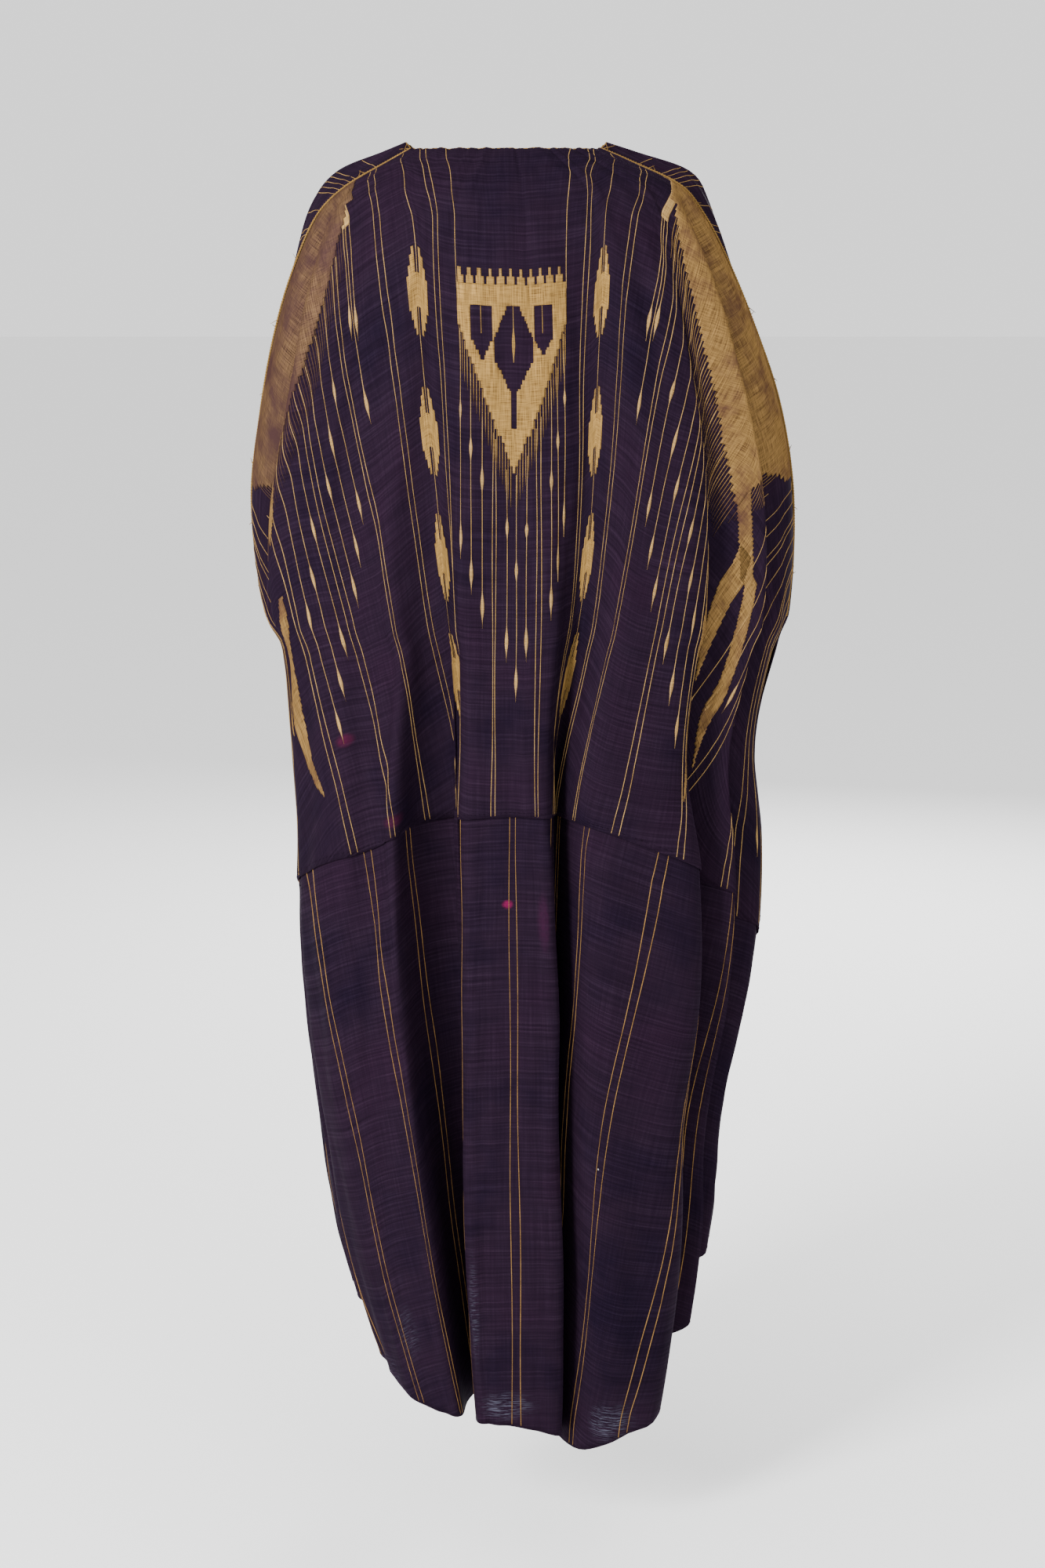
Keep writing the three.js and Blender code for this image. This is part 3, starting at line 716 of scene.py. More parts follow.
def central_motif(w, v):
    """The triangle with its band, less the two windows and the open lozenge, whose sides move in steps."""
    body = (np.abs(w) < triangle_half(v)) & (v >= MOTIF_TOP)
    for left, right, point in WINDOWS:
        middle, half = (left + right) / 2, (right - left) / 2
        opening = half * (1 - stepped(v, WINDOW_NARROWS, point, 5))
        window = (np.abs(w - middle) < opening) & (v > BAND_BOTTOM) & (v < point)
        body &= ~window
    opening = OPENING_HALF + OPENING_GROWS * stepped(v, BAND_BOTTOM, WINDOW_NARROWS, 8)
    opening -= OPENING_SHRINKS * stepped(v, OPENING_TURNS, OPENING_SLIT, 8)
    lozenge = (np.abs(w) < opening) & (v > BAND_BOTTOM) & (v < OPENING_END)
    return body & ~lozenge


def comb_teeth(w, v):
    """Eleven teeth above the band, each a narrow stub on a wider shoulder."""
    from_tooth = (w - FIRST_TOOTH) % TOOTH_EVERY
    from_tooth = np.minimum(from_tooth, TOOTH_EVERY - from_tooth)
    stub = (from_tooth < STUB_HALF) & (v > STUB_TOP) & (v < STUB_BOTTOM)
    shoulder = (from_tooth < SHOULDER_HALF) & (v > SHOULDER_TOP) & (v < MOTIF_TOP + 1)
    return (stub | shoulder) & (w > COMB_LEFT) & (w < COMB_RIGHT)


motif = Weaving()
MOTIF_SPAN, MOTIF_BOTTOM = (-MOTIF_HALF, MOTIF_HALF), 350
chart(motif, upper_map, central_motif, MOTIF_SPAN, (MOTIF_TOP, MOTIF_BOTTOM))
chart(motif, upper_map, comb_teeth, MOTIF_SPAN, (STUB_TOP, MOTIF_TOP), (1.35, 2.0))
for left, right, point in WINDOWS:
    gold_line(motif, upper_map, (left + right) / 2 - 0.8, BAND_BOTTOM, 204)
gold_line(motif, upper_map, 0, BAND_BOTTOM, 233, [(214, 44, 2.0)])
FRINGE_HANG = 42
for step in range(19):
    top = TRIANGLE_TOP + STEP_DOWN * step
    for side in (-1, 1):
        gold_line(motif, upper_map, side * (MOTIF_HALF - STEP_ACROSS * (step + 0.5)), top, top + FRINGE_HANG,
                  pointed=True)

# %% Lozenges beside it
LOZENGE_COLUMNS = [17, 45, 38, 28, 17]  # half height of each column, from the middle outwards
LOZENGE_COLUMN = 2.3
LOZENGE_AT = 107
LOZENGE_DROPS = [151, 294, 425, 550]


def lozenge(w, v):
    """Half height falls column by column; above and below the solid middle the centre is a slit."""
    column = np.minimum(np.abs(w) // LOZENGE_COLUMN, 5).astype(int)
    return np.abs(v) < np.array([*LOZENGE_COLUMNS, 0])[column]


for side in (-1, 1):
    for drop in LOZENGE_DROPS:
        w0 = side * LOZENGE_AT
        v0 = upper_map.down_at(w0, drop)
        chart(motif, upper_map, lambda w, v: lozenge(w - w0, v - v0),
              (w0 - 11.5, w0 + 11.5), (v0 - 45, v0 + 45), (1.15, 2.5))
motif_piece = motif.mesh("gold_motifs")

# %% [markdown]
# ## Lines of gold down the back
# Between the motifs thin gold lines run down the cloth. Many end in a spindle, where the weaver let the
# gold weft spread over a few more threads and closed it again. Each line is a row in a table.

# %% Gold lines of the upper width
# Distance from the middle (both sides unless signed), drop of the start (0 is the top edge), drop of
# the end (None runs to the waist), spindles along it as (drop, length), and whether it ends in one.
END_SPINDLE, SPINDLE_HALF, MID_HALF = 42, 2.3, 2.1
SIDE_LINES = [
    (60, 0, 150, [], False),
    (80, 0, None, [], False),
    (86, 0, None, [], False),
    (107, 0, None, [], False),
    (139, 0, None, [], False),
    (146, 0, None, [], False),
    (195, 0, None, [], False),
    (200, 0, None, [], False),
    (214, 0, 393, [(255, 32)], True),
    (229, 0, 438, [(307, 42)], True),
    (244, 0, 481, [(355, 36)], True),
    (255, 0, None, [], False),
    (262, 0, None, [], False),
    (272, 0, 537, [(399, 38)], True),
    (286, 0, 581, [(450, 36)], True),
    (300, 0, 627, [(492, 40)], True),
    (314, 0, None, [], False),
    (321, 0, None, [], False),
    (395, 0, None, [], False),
]
CENTRE_LINES = [
    (-58, 190, 426, [(273, 27)], True),
    (-46, 236, 463, [(312, 28)], True),
    (-34, 268, 498, [(344, 34)], True),
    (-23, 296, None, [], False),
    (-20, 303, None, [], False),
    (-8, 334, 534, [(394, 26)], True),
    (3, 340, 575, [(438, 26)], True),
    (14, 320, 533, [(396, 20)], True),
    (24, 292, None, [], False),
    (29, 280, None, [], False),
    (40, 250, 490, [(346, 26)], True),
    (48, 230, 450, [(305, 26)], True),
    (57, 196, 404, [(261, 22)], True),
]


def thread_from_table(weaving, cloth, w, start, end, spindles, ends_in_spindle):
    """One row of a line table, with its drops turned into distances down the thread."""
    top = cloth.down_at(w, start) if start else 0.0
    bottom = cloth.down_at(w, end) if end else cloth.length_at(w) - 2
    swells = [(cloth.down_at(w, drop), length, MID_HALF) for drop, length in spindles]
    if ends_in_spindle:
        swells.append((bottom - END_SPINDLE / 2, END_SPINDLE, SPINDLE_HALF))
    gold_line(weaving, cloth, w, top, bottom, swells, pointed=ends_in_spindle, sway=0.5)


lines = Weaving()
for row in SIDE_LINES:
    for side in (-1, 1):
        thread_from_table(lines, upper_map, side * row[0], *row[1:])
for row in CENTRE_LINES:
    thread_from_table(lines, upper_map, *row)

# %% Gold strip near each shoulder
STRIP_AT, STRIP_HALF, STRIP_LENGTH = 179.5, 4.6, 75
STRIP_THREADS = [(-4, 204), (4, 204), (0, 289)]  # threads below it: distance from its middle, drop of the end
THREADS_FROM = 60  # drop at which they start
for side in (-1, 1):
    w0 = side * STRIP_AT
    chart(lines, upper_map, lambda w, v: np.abs(w - w0) < STRIP_HALF,
          (w0 - STRIP_HALF, w0 + STRIP_HALF), (1, STRIP_LENGTH), (2.3, 4.0))
    for beside, end in STRIP_THREADS:
        thread_from_table(lines, upper_map, w0 + beside, THREADS_FROM, end, [], True)
lines_piece = lines.mesh("gold_lines_back")

# %% [markdown]
# ## The gold shoulders
# Over each shoulder lies a large field of gold that narrows in teeth towards the waist and ends in
# long daggers. It is worn brown, as if hands and bags had rubbed it, so it is a piece of its own with
# its own finish. The fields and daggers are laid out from estimated places and not from a rule.

# %% Shoulder fields and daggers
FIELD_MIDDLE = {-1: 342, 1: 352}
FIELD_DOWN = [0, 46, 48, 57, 75, 114, 150, 186, 210, 261, 290, 312]
FIELD_INNER = [176, 176, 166, 165, 155, 137, 117, 95, 77, 45, 22, 1]  # how far it reaches to the middle
FIELD_OUTER = [176, 174, 172, 160, 147, 119, 93, 68, 51, 15, 1, 0]  # and how far to the side
TOOTH_DOWN = 6.5
# Each dagger: distances down, its middle and its half width there. The places in this table and in the
# three lists above were estimated by eye on a worn robe, point by point, and turned into cloth distances
# by another program. They are not charted by a rule, and they slant more than woven threads would.
DAGGERS = {
    -1: [
        ([300, 330, 350], [320, 322, 325], [14, 8, 1]),
        ([405, 435, 462, 495, 522, 549, 573, 597, 617], [328, 333, 340, 343, 348, 350, 350, 345, 338],
         [2, 5, 6.5, 6.5, 6, 4.6, 3.8, 3.6, 0.8]),
        ([430, 480, 528], [356, 360, 359], [5, 4, 0.8]),
        ([480, 530, 560], [392, 396, 398], [0.8, 3.6, 0.8]),
    ],
    1: [
        ([250, 276, 300, 321, 342, 362], [318, 333, 350, 367, 384, 400], [11, 10, 10, 10, 10, 9]),
        ([340, 366, 384, 408, 441, 470], [382, 388, 388, 392, 398, 408], [7, 9, 9, 8, 5, 0.8]),
        ([350, 372, 390, 420, 447, 480, 498, 516], [400, 410, 417, 425, 432, 434, 440, 451],
         [8, 7.5, 7, 7, 6.5, 6, 4.5, 1]),
        ([425, 460, 500], [328, 323, 322], [3, 6, 0.8]),
        ([540, 570, 610, 630, 650], [329, 328, 325, 322, 317], [3, 3.8, 3.6, 2.8, 0.8]),
    ],
}
DAGGER_CELL, FIELD_CELL = (1.1, 3.0), (1.8, 3.25)
FIELD_RISE = 0.5  # the fields cross the sharpest turns of the cloth
FIELD_FRINGE = 46
FRINGE_GAP = 3.1


def shoulder_field(from_middle, v):
    """The field round its own middle line; it narrows in teeth, as v is rounded down to a tooth."""
    tooth = np.floor(v / TOOTH_DOWN) * TOOTH_DOWN
    inner, outer = np.interp(tooth, FIELD_DOWN, FIELD_INNER), np.interp(tooth, FIELD_DOWN, FIELD_OUTER)
    return (from_middle > -inner) & (from_middle < outer)


fields = {}
daggers = Weaving()
for side, name in ((-1, "gold_shoulder_left"), (1, "gold_shoulder_right")):
    field = Weaving()
    middle = side * FIELD_MIDDLE[side]
    span = (middle - FIELD_INNER[0], middle + FIELD_INNER[0])
    chart(field, upper_map, lambda w, v: shoulder_field(side * (w - middle), v),
          span, (1, FIELD_DOWN[-1]), FIELD_CELL, FIELD_RISE)
    for down, along, half in DAGGERS[side]:
        along = side * np.array(along, float)
        span = (along.min() - max(half), along.max() + max(half))
        chart(daggers, upper_map,
              lambda w, v: np.abs(w - np.interp(v, down, along)) < np.interp(v, down, half),
              span, (down[0], down[-1]), DAGGER_CELL)
    for way, reach in ((-side, FIELD_INNER), (side, FIELD_OUTER)):
        for offset in np.arange(reach[-1] + 2, reach[3] - 1, FRINGE_GAP):
            top = np.interp(-offset, -np.array(reach[3:], float), FIELD_DOWN[3:])
            gold_line(field, upper_map, middle + way * offset, top, top + FIELD_FRINGE, pointed=True)
    fields[side] = field.mesh(name)
daggers_piece = daggers.mesh("gold_daggers")

# %% Lines under the sleeve
# Distance from the middle, distance down of start and end (None runs to the waist), spindle at the end.
# The starts of the first lines follow the edge of the shoulder fields and come in part from their places.
OUTER_LINES = [
    (416, 270, 520, True), (430, 250, 490, True), (444, 220, 460, True), (455, 200, None, False),
    (462, 190, None, False), (472, 170, 430, True), (487, 140, 391, True), (502, 110, 350, True),
    (514, 90, None, False), (519, 80, None, False), (541, 0, 210, True), (556, 0, 250, True),
    (572, 0, None, False), (578, 0, None, False), (594, 0, 290, True), (609, 0, None, False),
    (626, 0, None, False), (632, 0, None, False), (648, 0, 330, True), (662, 0, None, False),
    (676, 0, None, False),
]
outer = Weaving()
for w, start, end, spindle in OUTER_LINES:
    for side in (-1, 1):
        end_at = end or upper_map.length_at(side * w) - 2
        swells = [(end_at - END_SPINDLE / 2, END_SPINDLE, SPINDLE_HALF)] if spindle else []
        gold_line(outer, upper_map, side * w, start + 1, end_at, swells, pointed=spindle, sway=0.5)

# %% Lines of the fronts and of the lower width
FRONT_LINES = [1248, 1222, 1215, 1208, 1201, 1194, 1170, 1148, 1140, 1060, 1053, 984, 977, 908, 901, 832,
               825, 756, 749]
LOWER_GAP, PAIR_HALF = 76, 4
for side in (-1, 1):
    for w in FRONT_LINES:
        cloth = upper_fronts[side]
        gold_line(outer, cloth, side * w, 1, cloth.length_at(side * w) - 2, sway=0.5)
outer_piece = outer.mesh("gold_lines_sides")
skirt = Weaving()
for k in range(-16, 17):
    for edge in (-PAIR_HALF, PAIR_HALF):
        w = k * LOWER_GAP + edge
        side = -1 if w < 0 else 1
        cloth = lower_map if abs(w) < HALF_WIDTH else lower_fronts[side]
        gold_line(skirt, cloth, w, 2, cloth.length_at(w) - 2, sway=0.6)
skirt_piece = skirt.mesh("gold_lines_lower")


# %% [markdown]
# ## Seams and edges
# The shoulder seam is sewn over and over with gold thread, which makes a thin twisted cord with a loose
# end here and there. The neck is bound the same way with finer thread. The front edges, the hand slits
# and the hem are rolled and felled, and the two widths are joined with small running stitches. Every
# thread is a closed tube swept along its path, because a real thread is round and casts its own shadow.

# %% Tubes along a path
def along_path(path, count):
    """The path again, at count points spaced evenly along its length."""
    length = arc_length(path[:, None, :3], 0)[:, 0]
    even = np.linspace(0, length[-1], count)
    return np.stack([np.interp(even, length, path[:, c]) for c in range(path.shape[1])], axis=1)


def tube(weaving, path, facing, radius, sides):
    """A closed tube: at each point of the path a ring of corners in the plane of "facing" and of the
    cross product of "facing" with the way along. radius may be one number or one for each point."""
    way = np.gradient(path, axis=0)
    beside = np.cross(way, facing)
    beside /= np.linalg.norm(beside, axis=1, keepdims=True)
    up = np.cross(beside, way)
    up /= np.linalg.norm(up, axis=1, keepdims=True)
    turn = np.arange(sides) * 2 * math.pi / sides
    ring = np.cos(turn)[None, :, None] * up[:, None] + np.sin(turn)[None, :, None] * beside[:, None]
    radius = np.broadcast_to(radius, len(path))
    points = path[:, None] + ring * radius[:, None, None]
    index = np.arange(len(path) * sides).reshape(-1, sides)
    faces = grid_faces(np.concatenate([index, index[:, :1]], axis=1))[:, ::-1]
    # A cap is a fan of quads from the ring's first corner
    cap = lambda row: np.stack([row[[0, k, k + 1, k + 2]] for k in range(1, sides - 2, 2)])
    length = arc_length(path[:, None], 0)
    round_it, down_it = np.broadcast_arrays(turn[None] * radius[:, None], length)
    weaving.add(points, np.concatenate([faces, cap(index[0, ::-1]), cap(index[-1])]), round_it, down_it)


def overcast(weaving, path, facing, core, thread, pitch, turn_steps=8):
    """A core with thread wound round it: the thread's path is a helix whose centre runs along the core."""
    tube(weaving, path, facing, core, 6)
    length = arc_length(path[:, None], 0)[-1, 0]
    count = int(length / pitch * turn_steps)
    both = along_path(np.concatenate([path, facing], axis=1), count)
    centre, face = both[:, :3], both[:, 3:]
    beside = np.cross(np.gradient(centre, axis=0), face)
    beside /= np.linalg.norm(beside, axis=1, keepdims=True)
    angle = np.arange(count)[:, None] * 2 * math.pi / turn_steps
    outwards = np.cos(angle) * face + np.sin(angle) * beside
    tube(weaving, centre + outwards * core, outwards, thread, 4)


# %% Gold sewing of the shoulders and the neck
CORE, THREAD, PITCH = 1.1, 0.5, 3.0
SEAM_LIFT = SKIN + CORE + 0.5
# Loose ends: how far along the seam, how long, which way they lean, how far they curl
TUFTS = [(4, 11, 0.9, 3), (8, 12, -0.5, -2), (56, 7, 0.6, 2), (63, 6, -0.8, 3), (118, 6, 0.3, -2),
         (176, 7, -0.4, 2), (243, 8, 0.8, 3), (251, 7, -0.2, -3), (324, 6, 0.5, 2), (402, 7, -0.7, 2),
         (466, 6, 0.4, -2), (540, 8, -0.5, 3)]


def loose_end(weaving, root, face, way, length, lean, curl):
    """A loose end of thread that leaves the seam, leans along it and curls by the square of its length."""
    at = np.linspace(0, 1, 6)[:, None]
    beside = np.cross(way, face)
    path = root + at * length * (0.45 * face + lean * way + 0.5 * beside) + at**2 * curl * beside
    tube(weaving, path, np.broadcast_to(face, path.shape), THREAD * (1 - 0.55 * at[:, 0]), 4)


back_normals = outward(upper_back)
sewing = {}
for name, column, front_edge in (("left", 0, left_front[:, -1]), ("right", -1, right_front[:, 0])):
    seam = Weaving()
    rows = slice(0, CORNER + 1)
    middle = (upper_back[rows, column] + front_edge[rows]) / 2
    normals = back_normals[rows, column]
    both = along_path(np.concatenate([middle + normals * SEAM_LIFT, normals], axis=1), 240)
    path, facing = both[:, :3], both[:, 3:] / np.linalg.norm(both[:, 3:], axis=1, keepdims=True)
    overcast(seam, path, facing, CORE, THREAD, PITCH)
    step = np.linalg.norm(path[1] - path[0])
    ways = np.gradient(path, axis=0) / step
    for place, length, lean, curl in TUFTS:
        k = int(place / step)
        loose_end(seam, path[k] + facing[k] * CORE, facing[k], ways[k], length, lean, curl)
    sewing[name] = seam.mesh(name + "_shoulder_sewing")
    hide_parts(name + "_shoulder_cord")

neck = Weaving()
NECK_CORE, NECK_THREAD, NECK_PITCH = 0.55, 0.3, 3.4
for panel in panels:
    both = along_path(np.concatenate([panel[0], outward(panel)[0]], axis=1), 60)
    facing = both[:, 3:] / np.linalg.norm(both[:, 3:], axis=1, keepdims=True)
    overcast(neck, both[:, :3], facing, NECK_CORE, NECK_THREAD, NECK_PITCH, 6)
neck_piece = neck.mesh("neck_binding")

# %% Rolled edges and the waist seam
EDGE, HEM_EDGE = 0.95, 0.8
slit = slice(CORNER, SLIT_ROW + 1)
edges = Weaving()
edge_paths = [
    (left_front[:, 0], outward(left_front)[:, 0], EDGE),
    (right_front[:, -1], outward(right_front)[:, -1], EDGE),
]
for panel, column in ((0, -1), (1, 0), (1, -1), (2, 0)):
    edge_paths.append((panels[panel][slit, column], outward(panels[panel])[slit, column], EDGE))
lower_normals = outward(lower_grid)
for column in (0, -1):
    edge_paths.append((lower_grid[:, column], lower_normals[:, column], EDGE))
edge_paths.append((lower_grid[-1], lower_normals[-1], HEM_EDGE))
for path, facing, radius in edge_paths:
    tube(edges, path, facing, radius, 6)
edges_piece = edges.mesh("rolled_edges", "silk")

# Waist stitches: length, distance from one to the next, distance above the edge, half width
STITCH, STITCH_EVERY, STITCH_UP, STITCH_HALF = 3.2, 5.4, 4.5, 0.35
STITCH_ALONG = np.array([0, 0.5, 1])[:, None] * STITCH
STITCH_ARCH = np.array([-0.1, 0.3, -0.1])[:, None]  # it rises in its middle and dips at its ends
STITCH_ROUND_V, STITCH_ROUND_LIFT = np.array([-1, 0, 1, 0]) * STITCH_HALF, np.array([0, 0.35, 0, -0.35])
STITCH_FREE = 8  # cloth left without stitches at the last end of each panel
STITCH_SPANS = [
    (upper_fronts[-1], -FRONT_EDGE + 6, -HALF_WIDTH - 4),
    (upper_map, -HALF_WIDTH + 4, HALF_WIDTH - STITCH_FREE),
    (upper_fronts[1], HALF_WIDTH + 4, FRONT_EDGE - STITCH_FREE),
]
stitches = Weaving()
corners = np.arange(STITCH_ALONG.size * STITCH_ROUND_V.size).reshape(STITCH_ALONG.size, -1)
stitch_sides = grid_faces(np.concatenate([corners, corners[:, :1]], axis=1))[:, ::-1]
stitch_faces = np.concatenate([stitch_sides, [corners[0, ::-1], corners[-1]]])
for cloth, low, high in STITCH_SPANS:
    for start in np.arange(low, high, STITCH_EVERY):
        edge = np.interp(start, cloth.across, cloth.end)
        w, v, lift = np.broadcast_arrays(start + STITCH_ALONG, edge - STITCH_UP + STITCH_ROUND_V,
                                         SKIN + STITCH_ARCH + STITCH_ROUND_LIFT)
        stitches.add(cloth.at(w, v, lift), stitch_faces, w, v)
stitches_piece = stitches.mesh("waist_stitches", "silk")

# %% [markdown]
# ## Aubergine silk
# The silk is a plain weave of slightly uneven threads, dark and only softly shiny. Its colour and relief
# come from two noises, one drawn out along the weft and one along the warp. Faded patches, stains and
# thin places lie at named spots of the cloth, so that they move with it.

# %% Aubergine silk
def material(name):
    """A new material with its shader, and a helper that adds a node and links inputs to it by name."""
    made = bpy.data.materials.new(name)
    made.use_nodes = True
    nodes, links = made.node_tree.nodes, made.node_tree.links
    shader = nodes["Principled BSDF"]

    def node(kind, inputs=None, **settings):
        """A new node; each input is linked if it is another node's output, and set if it is a value."""
        new = nodes.new(kind)
        for key, value in settings.items():
            setattr(new, key, value)
        for key, value in (inputs or {}).items():
            if isinstance(value, bpy.types.NodeSocket):
                links.new(value, new.inputs[key])
            else:
                new.inputs[key].default_value = value
        return new

    return made, shader, node, links


def ramp(node, value, stops):
    """A colour ramp through (position, colour) stops."""
    made = node("ShaderNodeValToRGB", {"Fac": value})
    elements = made.color_ramp.elements
    while len(elements) < len(stops):
        elements.new(0.5)
    for element, (position, colour) in zip(elements, stops):
        element.position = position
        element.color = (*colour, 1)
    return made.outputs["Color"]


def silk_material(name, spots, sheer):
    """Aubergine silk: noise drawn out along each thread gives slubs, a broad noise gives worn and faded
    patches. Each spot is an ellipse on the cloth (distance from the middle, distance down, half width,
    half height, colour, strength), and each sheer place one where pale light shows between threads."""
    made, shader, node, links = material(name)
    cloth_uv = node("ShaderNodeUVMap", uv_map="cloth").outputs["UV"]

    def noise(scale_across, scale_down, detail):
        """Noise from 0 to 1 on the cloth, with so many lumps for each metre across and down."""
        drawn_out = node("ShaderNodeMapping", {"Vector": cloth_uv, "Scale": (scale_across, scale_down, 1)})
        cloud = node("ShaderNodeTexNoise", {"Vector": drawn_out.outputs["Vector"], "Scale": 1.0,
                                            "Detail": detail, "Roughness": 0.6})
        return cloud.outputs["Fac"]

    def maths(kind, a, b):
        """The sum or product of two values."""
        return node("ShaderNodeMath", {0: a, 1: b}, operation=kind).outputs["Value"]

    def mix(amount, a, b, blend="MIX"):
        """Colour a, turned into b by amount; with "MULTIPLY" it is turned into a times b."""
        mixed = node("ShaderNodeMix", {"Factor": amount}, data_type="RGBA", blend_type=blend)
        for socket, value in ((6, a), (7, b)):
            if isinstance(value, bpy.types.NodeSocket):
                links.new(value, mixed.inputs[socket])
            else:
                mixed.inputs[socket].default_value = (*value, 1)
        return mixed.outputs[2]

    def ellipse(w, v, half_width, half_height):
        """1 in the middle and 0 at the rim of an ellipse on the cloth."""
        centred = node("ShaderNodeMapping", {"Vector": cloth_uv, "Location": (-w * MM, -v * MM, 0)})
        scaled = node("ShaderNodeMapping", {"Vector": centred.outputs["Vector"],
                                            "Scale": (1 / (half_width * MM), 1 / (half_height * MM), 1)})
        far = node("ShaderNodeVectorMath", {0: scaled.outputs["Vector"]}, operation="LENGTH")
        fading = node("ShaderNodeMapRange", {"Value": far.outputs["Value"], "From Min": 0.25, "From Max": 1.0,
                                             "To Min": 1.0, "To Max": 0.0}, interpolation_type="SMOOTHSTEP")
        return fading.outputs["Result"]

    weft, warp = noise(9, 420, 3.0), noise(520, 14, 2.0)
    weave = maths("ADD", maths("MULTIPLY", weft, 0.72), maths("MULTIPLY", warp, 0.28))
    colour = ramp(node, weave, [(0.22, SILK_DARK), (0.52, SILK), (0.82, SILK_LIGHT)])
    patches = ramp(node, noise(7, 7, 4.0), PATCHES)
    colour = mix(1.0, colour, patches, "MULTIPLY")
    for w, v, half_width, half_height, tint, strength in spots:
        rough_rim = maths("MULTIPLY", noise(260, 260, 3.0), 2.0)
        ragged = maths("MULTIPLY", ellipse(w, v, half_width, half_height), rough_rim)
        colour = mix(maths("MULTIPLY", ragged, strength), colour, tint)
    gaps = node("ShaderNodeMapRange", {"Value": noise(60, 900, 2.0), "From Min": 0.5, "From Max": 0.62})
    between = gaps.outputs["Result"]
    for w, v, half_width, half_height, strength in sheer:
        shows = maths("MULTIPLY", ellipse(w, v, half_width, half_height), between)
        colour = mix(maths("MULTIPLY", shows, strength), colour, SHEER)
    links.new(colour, shader.inputs["Base Color"])
    gloss = node("ShaderNodeMapRange", {"Value": weave, "From Min": 0.3, "From Max": 0.7,
                                        "To Min": 0.72, "To Max": 0.55})
    links.new(gloss.outputs["Result"], shader.inputs["Roughness"])
    bump = node("ShaderNodeBump", {"Height": weave, "Strength": 0.4, "Distance": 0.0004})
    links.new(bump.outputs["Normal"], shader.inputs["Normal"])
    shader.inputs["Specular IOR Level"].default_value = 0.006
    shader.inputs["Sheen Weight"].default_value = 0.02
    shader.inputs["Sheen Roughness"].default_value = 0.3
    shader.inputs["Sheen Tint"].default_value = (0.6, 0.36, 0.72, 1)
    return made


SILK_DARK, SILK = (0.0046, 0.0025, 0.0056), (0.0104, 0.0054, 0.0118)
SILK_LIGHT, SHEER = (0.0215, 0.0120, 0.0235), (0.06, 0.06, 0.085)
MAGENTA, FADED, FLECK = (0.12, 0.005, 0.04), (0.026, 0.006, 0.02), (0.3, 0.3, 0.3)
# Worn, plain and faded silk: noise level and the tint that multiplies the colour there
PATCHES = [(0.32, (0.62, 0.68, 0.8)), (0.5, (1.0, 1.0, 1.0)), (0.68, (1.12, 0.98, 1.05))]
# Stains, fleck and thin parts: their places were also estimated by eye and turned into cloth distances
# by another program
UPPER_SPOTS = [(-298, 579, 14, 9, MAGENTA, 0.2), (-255, 675, 24, 9, MAGENTA, 0.12)]
LOWER_SPOTS = [(-6, 105, 8, 6, MAGENTA, 0.8), (34, 123, 12, 40, FADED, 0.5),
               (302, 360, 1.3, 1.3, FLECK, 1.0)]
LOWER_SHEER = [(-12, 657, 36, 20, 0.8), (362, 630, 34, 28, 0.8), (-46, 546, 12, 80, 0.4),
               (-368, 528, 24, 40, 0.25), (-438, 567, 30, 30, 0.2), (900, 600, 60, 40, 0.3)]
upper_silk = silk_material("aubergine silk, upper width", UPPER_SPOTS, [])
lower_silk = silk_material("aubergine silk, lower width", LOWER_SPOTS, LOWER_SHEER)
for piece, finish in ((upper_cloth, upper_silk), (lower_cloth, lower_silk), (edges_piece, upper_silk),
                      (stitches_piece, upper_silk)):
    piece.data.materials.append(finish)


# %% [markdown]
# ## Gold thread
# Gold thread is a thin strip of metal wound on a silk core. It glitters less than solid metal, and it
# turns brown where the metal has rubbed off. The five finishes share one recipe and differ only in
# colour and in how much of the brown shows.

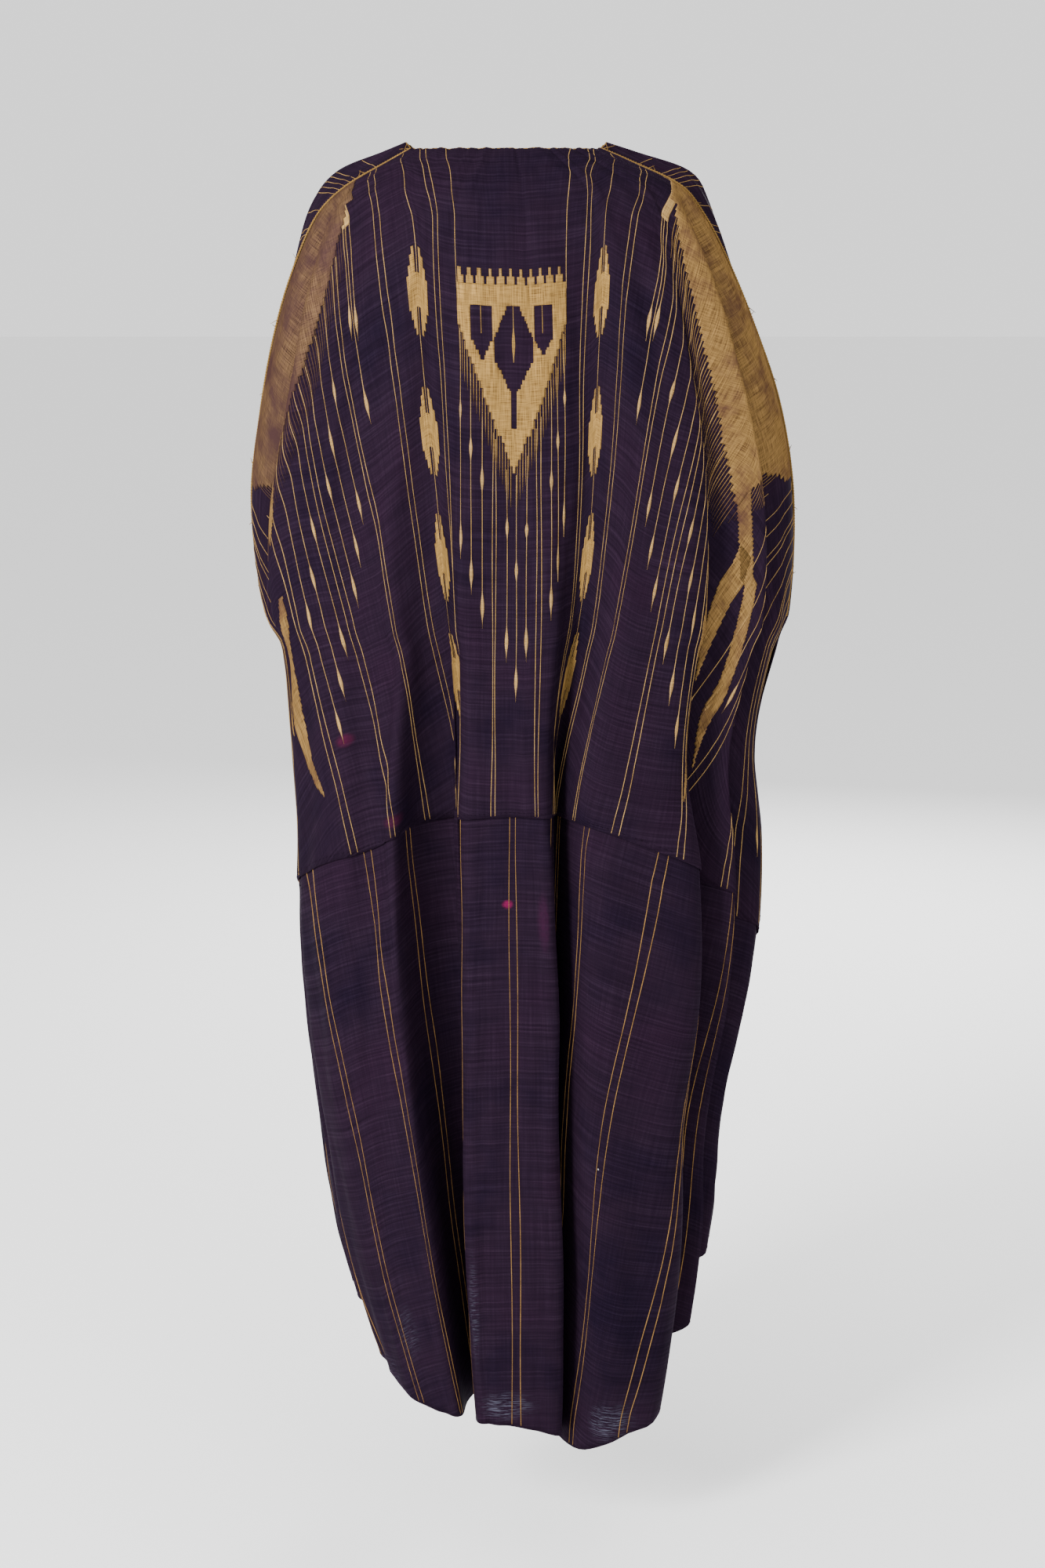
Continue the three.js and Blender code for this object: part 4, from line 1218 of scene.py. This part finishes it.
# %% Gold thread, new and worn
def gold_material(name, bright, dark, brown, wear):
    """Gold thread: fine weft ribs with slubs, mottled towards brown where the metal has worn off. wear
    is the noise level above which the brown shows."""
    made, shader, node, links = material(name)
    cloth_uv = node("ShaderNodeUVMap", uv_map="cloth").outputs["UV"]
    along = node("ShaderNodeMapping", {"Vector": cloth_uv, "Scale": (60, 1100, 1)}).outputs["Vector"]
    ribs = node("ShaderNodeTexNoise", {"Vector": along, "Scale": 1.0, "Detail": 2.0}).outputs["Fac"]
    down = node("ShaderNodeMapping", {"Vector": cloth_uv, "Scale": (900, 40, 1)}).outputs["Vector"]
    ends = node("ShaderNodeTexNoise", {"Vector": down, "Scale": 1.0, "Detail": 1.0}).outputs["Fac"]
    weave = node("ShaderNodeMath", {0: ribs, 1: ends}, operation="ADD").outputs["Value"]
    weave = node("ShaderNodeMath", {0: weave, 1: 0.5}, operation="MULTIPLY").outputs["Value"]
    metal = ramp(node, weave, [(0.34, dark), (0.52, bright), (0.7, tuple(min(c * 1.45, 1) for c in bright))])
    blots = node("ShaderNodeTexNoise", {"Vector": cloth_uv, "Scale": 16.0, "Detail": 6.0, "Roughness": 0.7})
    amount = node("ShaderNodeMapRange", {"Value": blots.outputs["Fac"], "From Min": wear,
                                         "From Max": wear + 0.2})
    mixed = node("ShaderNodeMix", {"Factor": amount.outputs["Result"], "A": metal, "B": (*brown, 1)},
                 data_type="RGBA")
    links.new(mixed.outputs[2], shader.inputs["Base Color"])
    gloss = node("ShaderNodeMapRange", {"Value": weave, "From Min": 0.35, "From Max": 0.65,
                                        "To Min": 0.66, "To Max": 0.46})
    links.new(gloss.outputs["Result"], shader.inputs["Roughness"])
    bump = node("ShaderNodeBump", {"Height": weave, "Strength": 0.5, "Distance": 0.0004})
    links.new(bump.outputs["Normal"], shader.inputs["Normal"])
    shader.inputs["Metallic"].default_value = 0.15
    shader.inputs["Specular IOR Level"].default_value = 0.0
    shader.inputs["Specular Tint"].default_value = (0.5, 0.34, 0.14, 1)
    return made


gold = gold_material("gold thread", (0.205, 0.12, 0.036), (0.08, 0.043, 0.014), (0.09, 0.046, 0.018), 0.6)
pale_gold = gold_material("pale gold thread", (0.26, 0.16, 0.06), (0.14, 0.08, 0.028),
                          (0.12, 0.066, 0.03), 0.6)
dull_gold = gold_material("dull gold thread", (0.19, 0.105, 0.036), (0.085, 0.045, 0.018),
                          (0.08, 0.04, 0.018), 0.56)
worn_gold = gold_material("worn gold thread", (0.155, 0.09, 0.031), (0.055, 0.029, 0.012),
                          (0.056, 0.027, 0.019), 0.48)
rubbed_gold = gold_material("rubbed gold thread", (0.08, 0.046, 0.024), (0.028, 0.015, 0.011),
                            (0.038, 0.019, 0.018), 0.42)
GOLD_FINISHES = [
    (gold, [motif_piece, sewing["left"], sewing["right"], neck_piece]),
    (pale_gold, [lines_piece, outer_piece]),
    (dull_gold, [skirt_piece]),
    (worn_gold, [daggers_piece, fields[1]]),
    (rubbed_gold, [fields[-1]]),
]
for finish, pieces in GOLD_FINISHES:
    for piece in pieces:
        piece.data.materials.append(finish)

# %% [markdown]
# ## Camera, floor and light
# The camera stands behind the robe at the height of its shoulders and looks a little down. A wide pale
# floor, a bright world and large soft lamps show dark cloth without hard shadows.

# %% Camera
camera_data = bpy.data.cameras.new("camera")
IMAGE_HEIGHT, FOCAL_PIXELS = 2000, 3530  # both in pixels
CAMERA_AT, CAMERA_DOWN = (0.0136, -3.0, -0.115), 10.85  # metres from the neck, and degrees below level
SENSOR = 36  # millimetres
camera_data.sensor_fit = "VERTICAL"
camera_data.sensor_height = SENSOR
camera_data.lens = FOCAL_PIXELS / IMAGE_HEIGHT * SENSOR
camera = bpy.data.objects.new("camera", camera_data)
camera.location = CAMERA_AT
camera.rotation_euler = (math.radians(90 - CAMERA_DOWN), 0, 0)
bpy.context.scene.collection.objects.link(camera)
bpy.context.scene.camera = camera

# %% Floor and light
FLOOR, FLOOR_SIZE = -1.515, 90
bpy.ops.mesh.primitive_plane_add(size=FLOOR_SIZE, location=(0, 0, FLOOR))
floor = bpy.context.object
floor.name = "floor"
paper, paper_shader, *_ = material("pale paper")
paper_shader.inputs["Base Color"].default_value = (0.9, 0.9, 0.9, 1)
paper_shader.inputs["Roughness"].default_value = 0.9
floor.data.materials.append(paper)

world = bpy.data.worlds.new("studio")
bpy.context.scene.world = world
world.use_nodes = True
world.node_tree.nodes["Background"].inputs["Color"].default_value = (1, 1, 1, 1)
world.node_tree.nodes["Background"].inputs["Strength"].default_value = 1.4


def softbox(name, place, target, size, power):
    """A rectangular lamp at place that shines towards target: size in metres, power in watts."""
    data = bpy.data.lights.new(name, "AREA")
    data.shape = "RECTANGLE"
    data.size, data.size_y = size
    data.energy = power
    light = bpy.data.objects.new(name, data)
    light.location = place
    aim = np.array(target) - np.array(place)
    tilt, turn = math.atan2(math.hypot(aim[0], aim[1]), -aim[2]), math.atan2(aim[1], aim[0]) - math.pi / 2
    light.rotation_euler = (tilt, 0, turn)
    bpy.context.scene.collection.objects.link(light)


softbox("key light", (-2.2, -2.7, 0.9), (0, 0, -0.6), (1.0, 1.4), 280)
softbox("fill light", (2.0, -3.0, 0.3), (0, 0, -0.7), (1.4, 2.0), 40)
softbox("light on the fronts", (0.8, 3.4, 0.7), (0, 0, -0.7), (1.6, 2.0), 150)
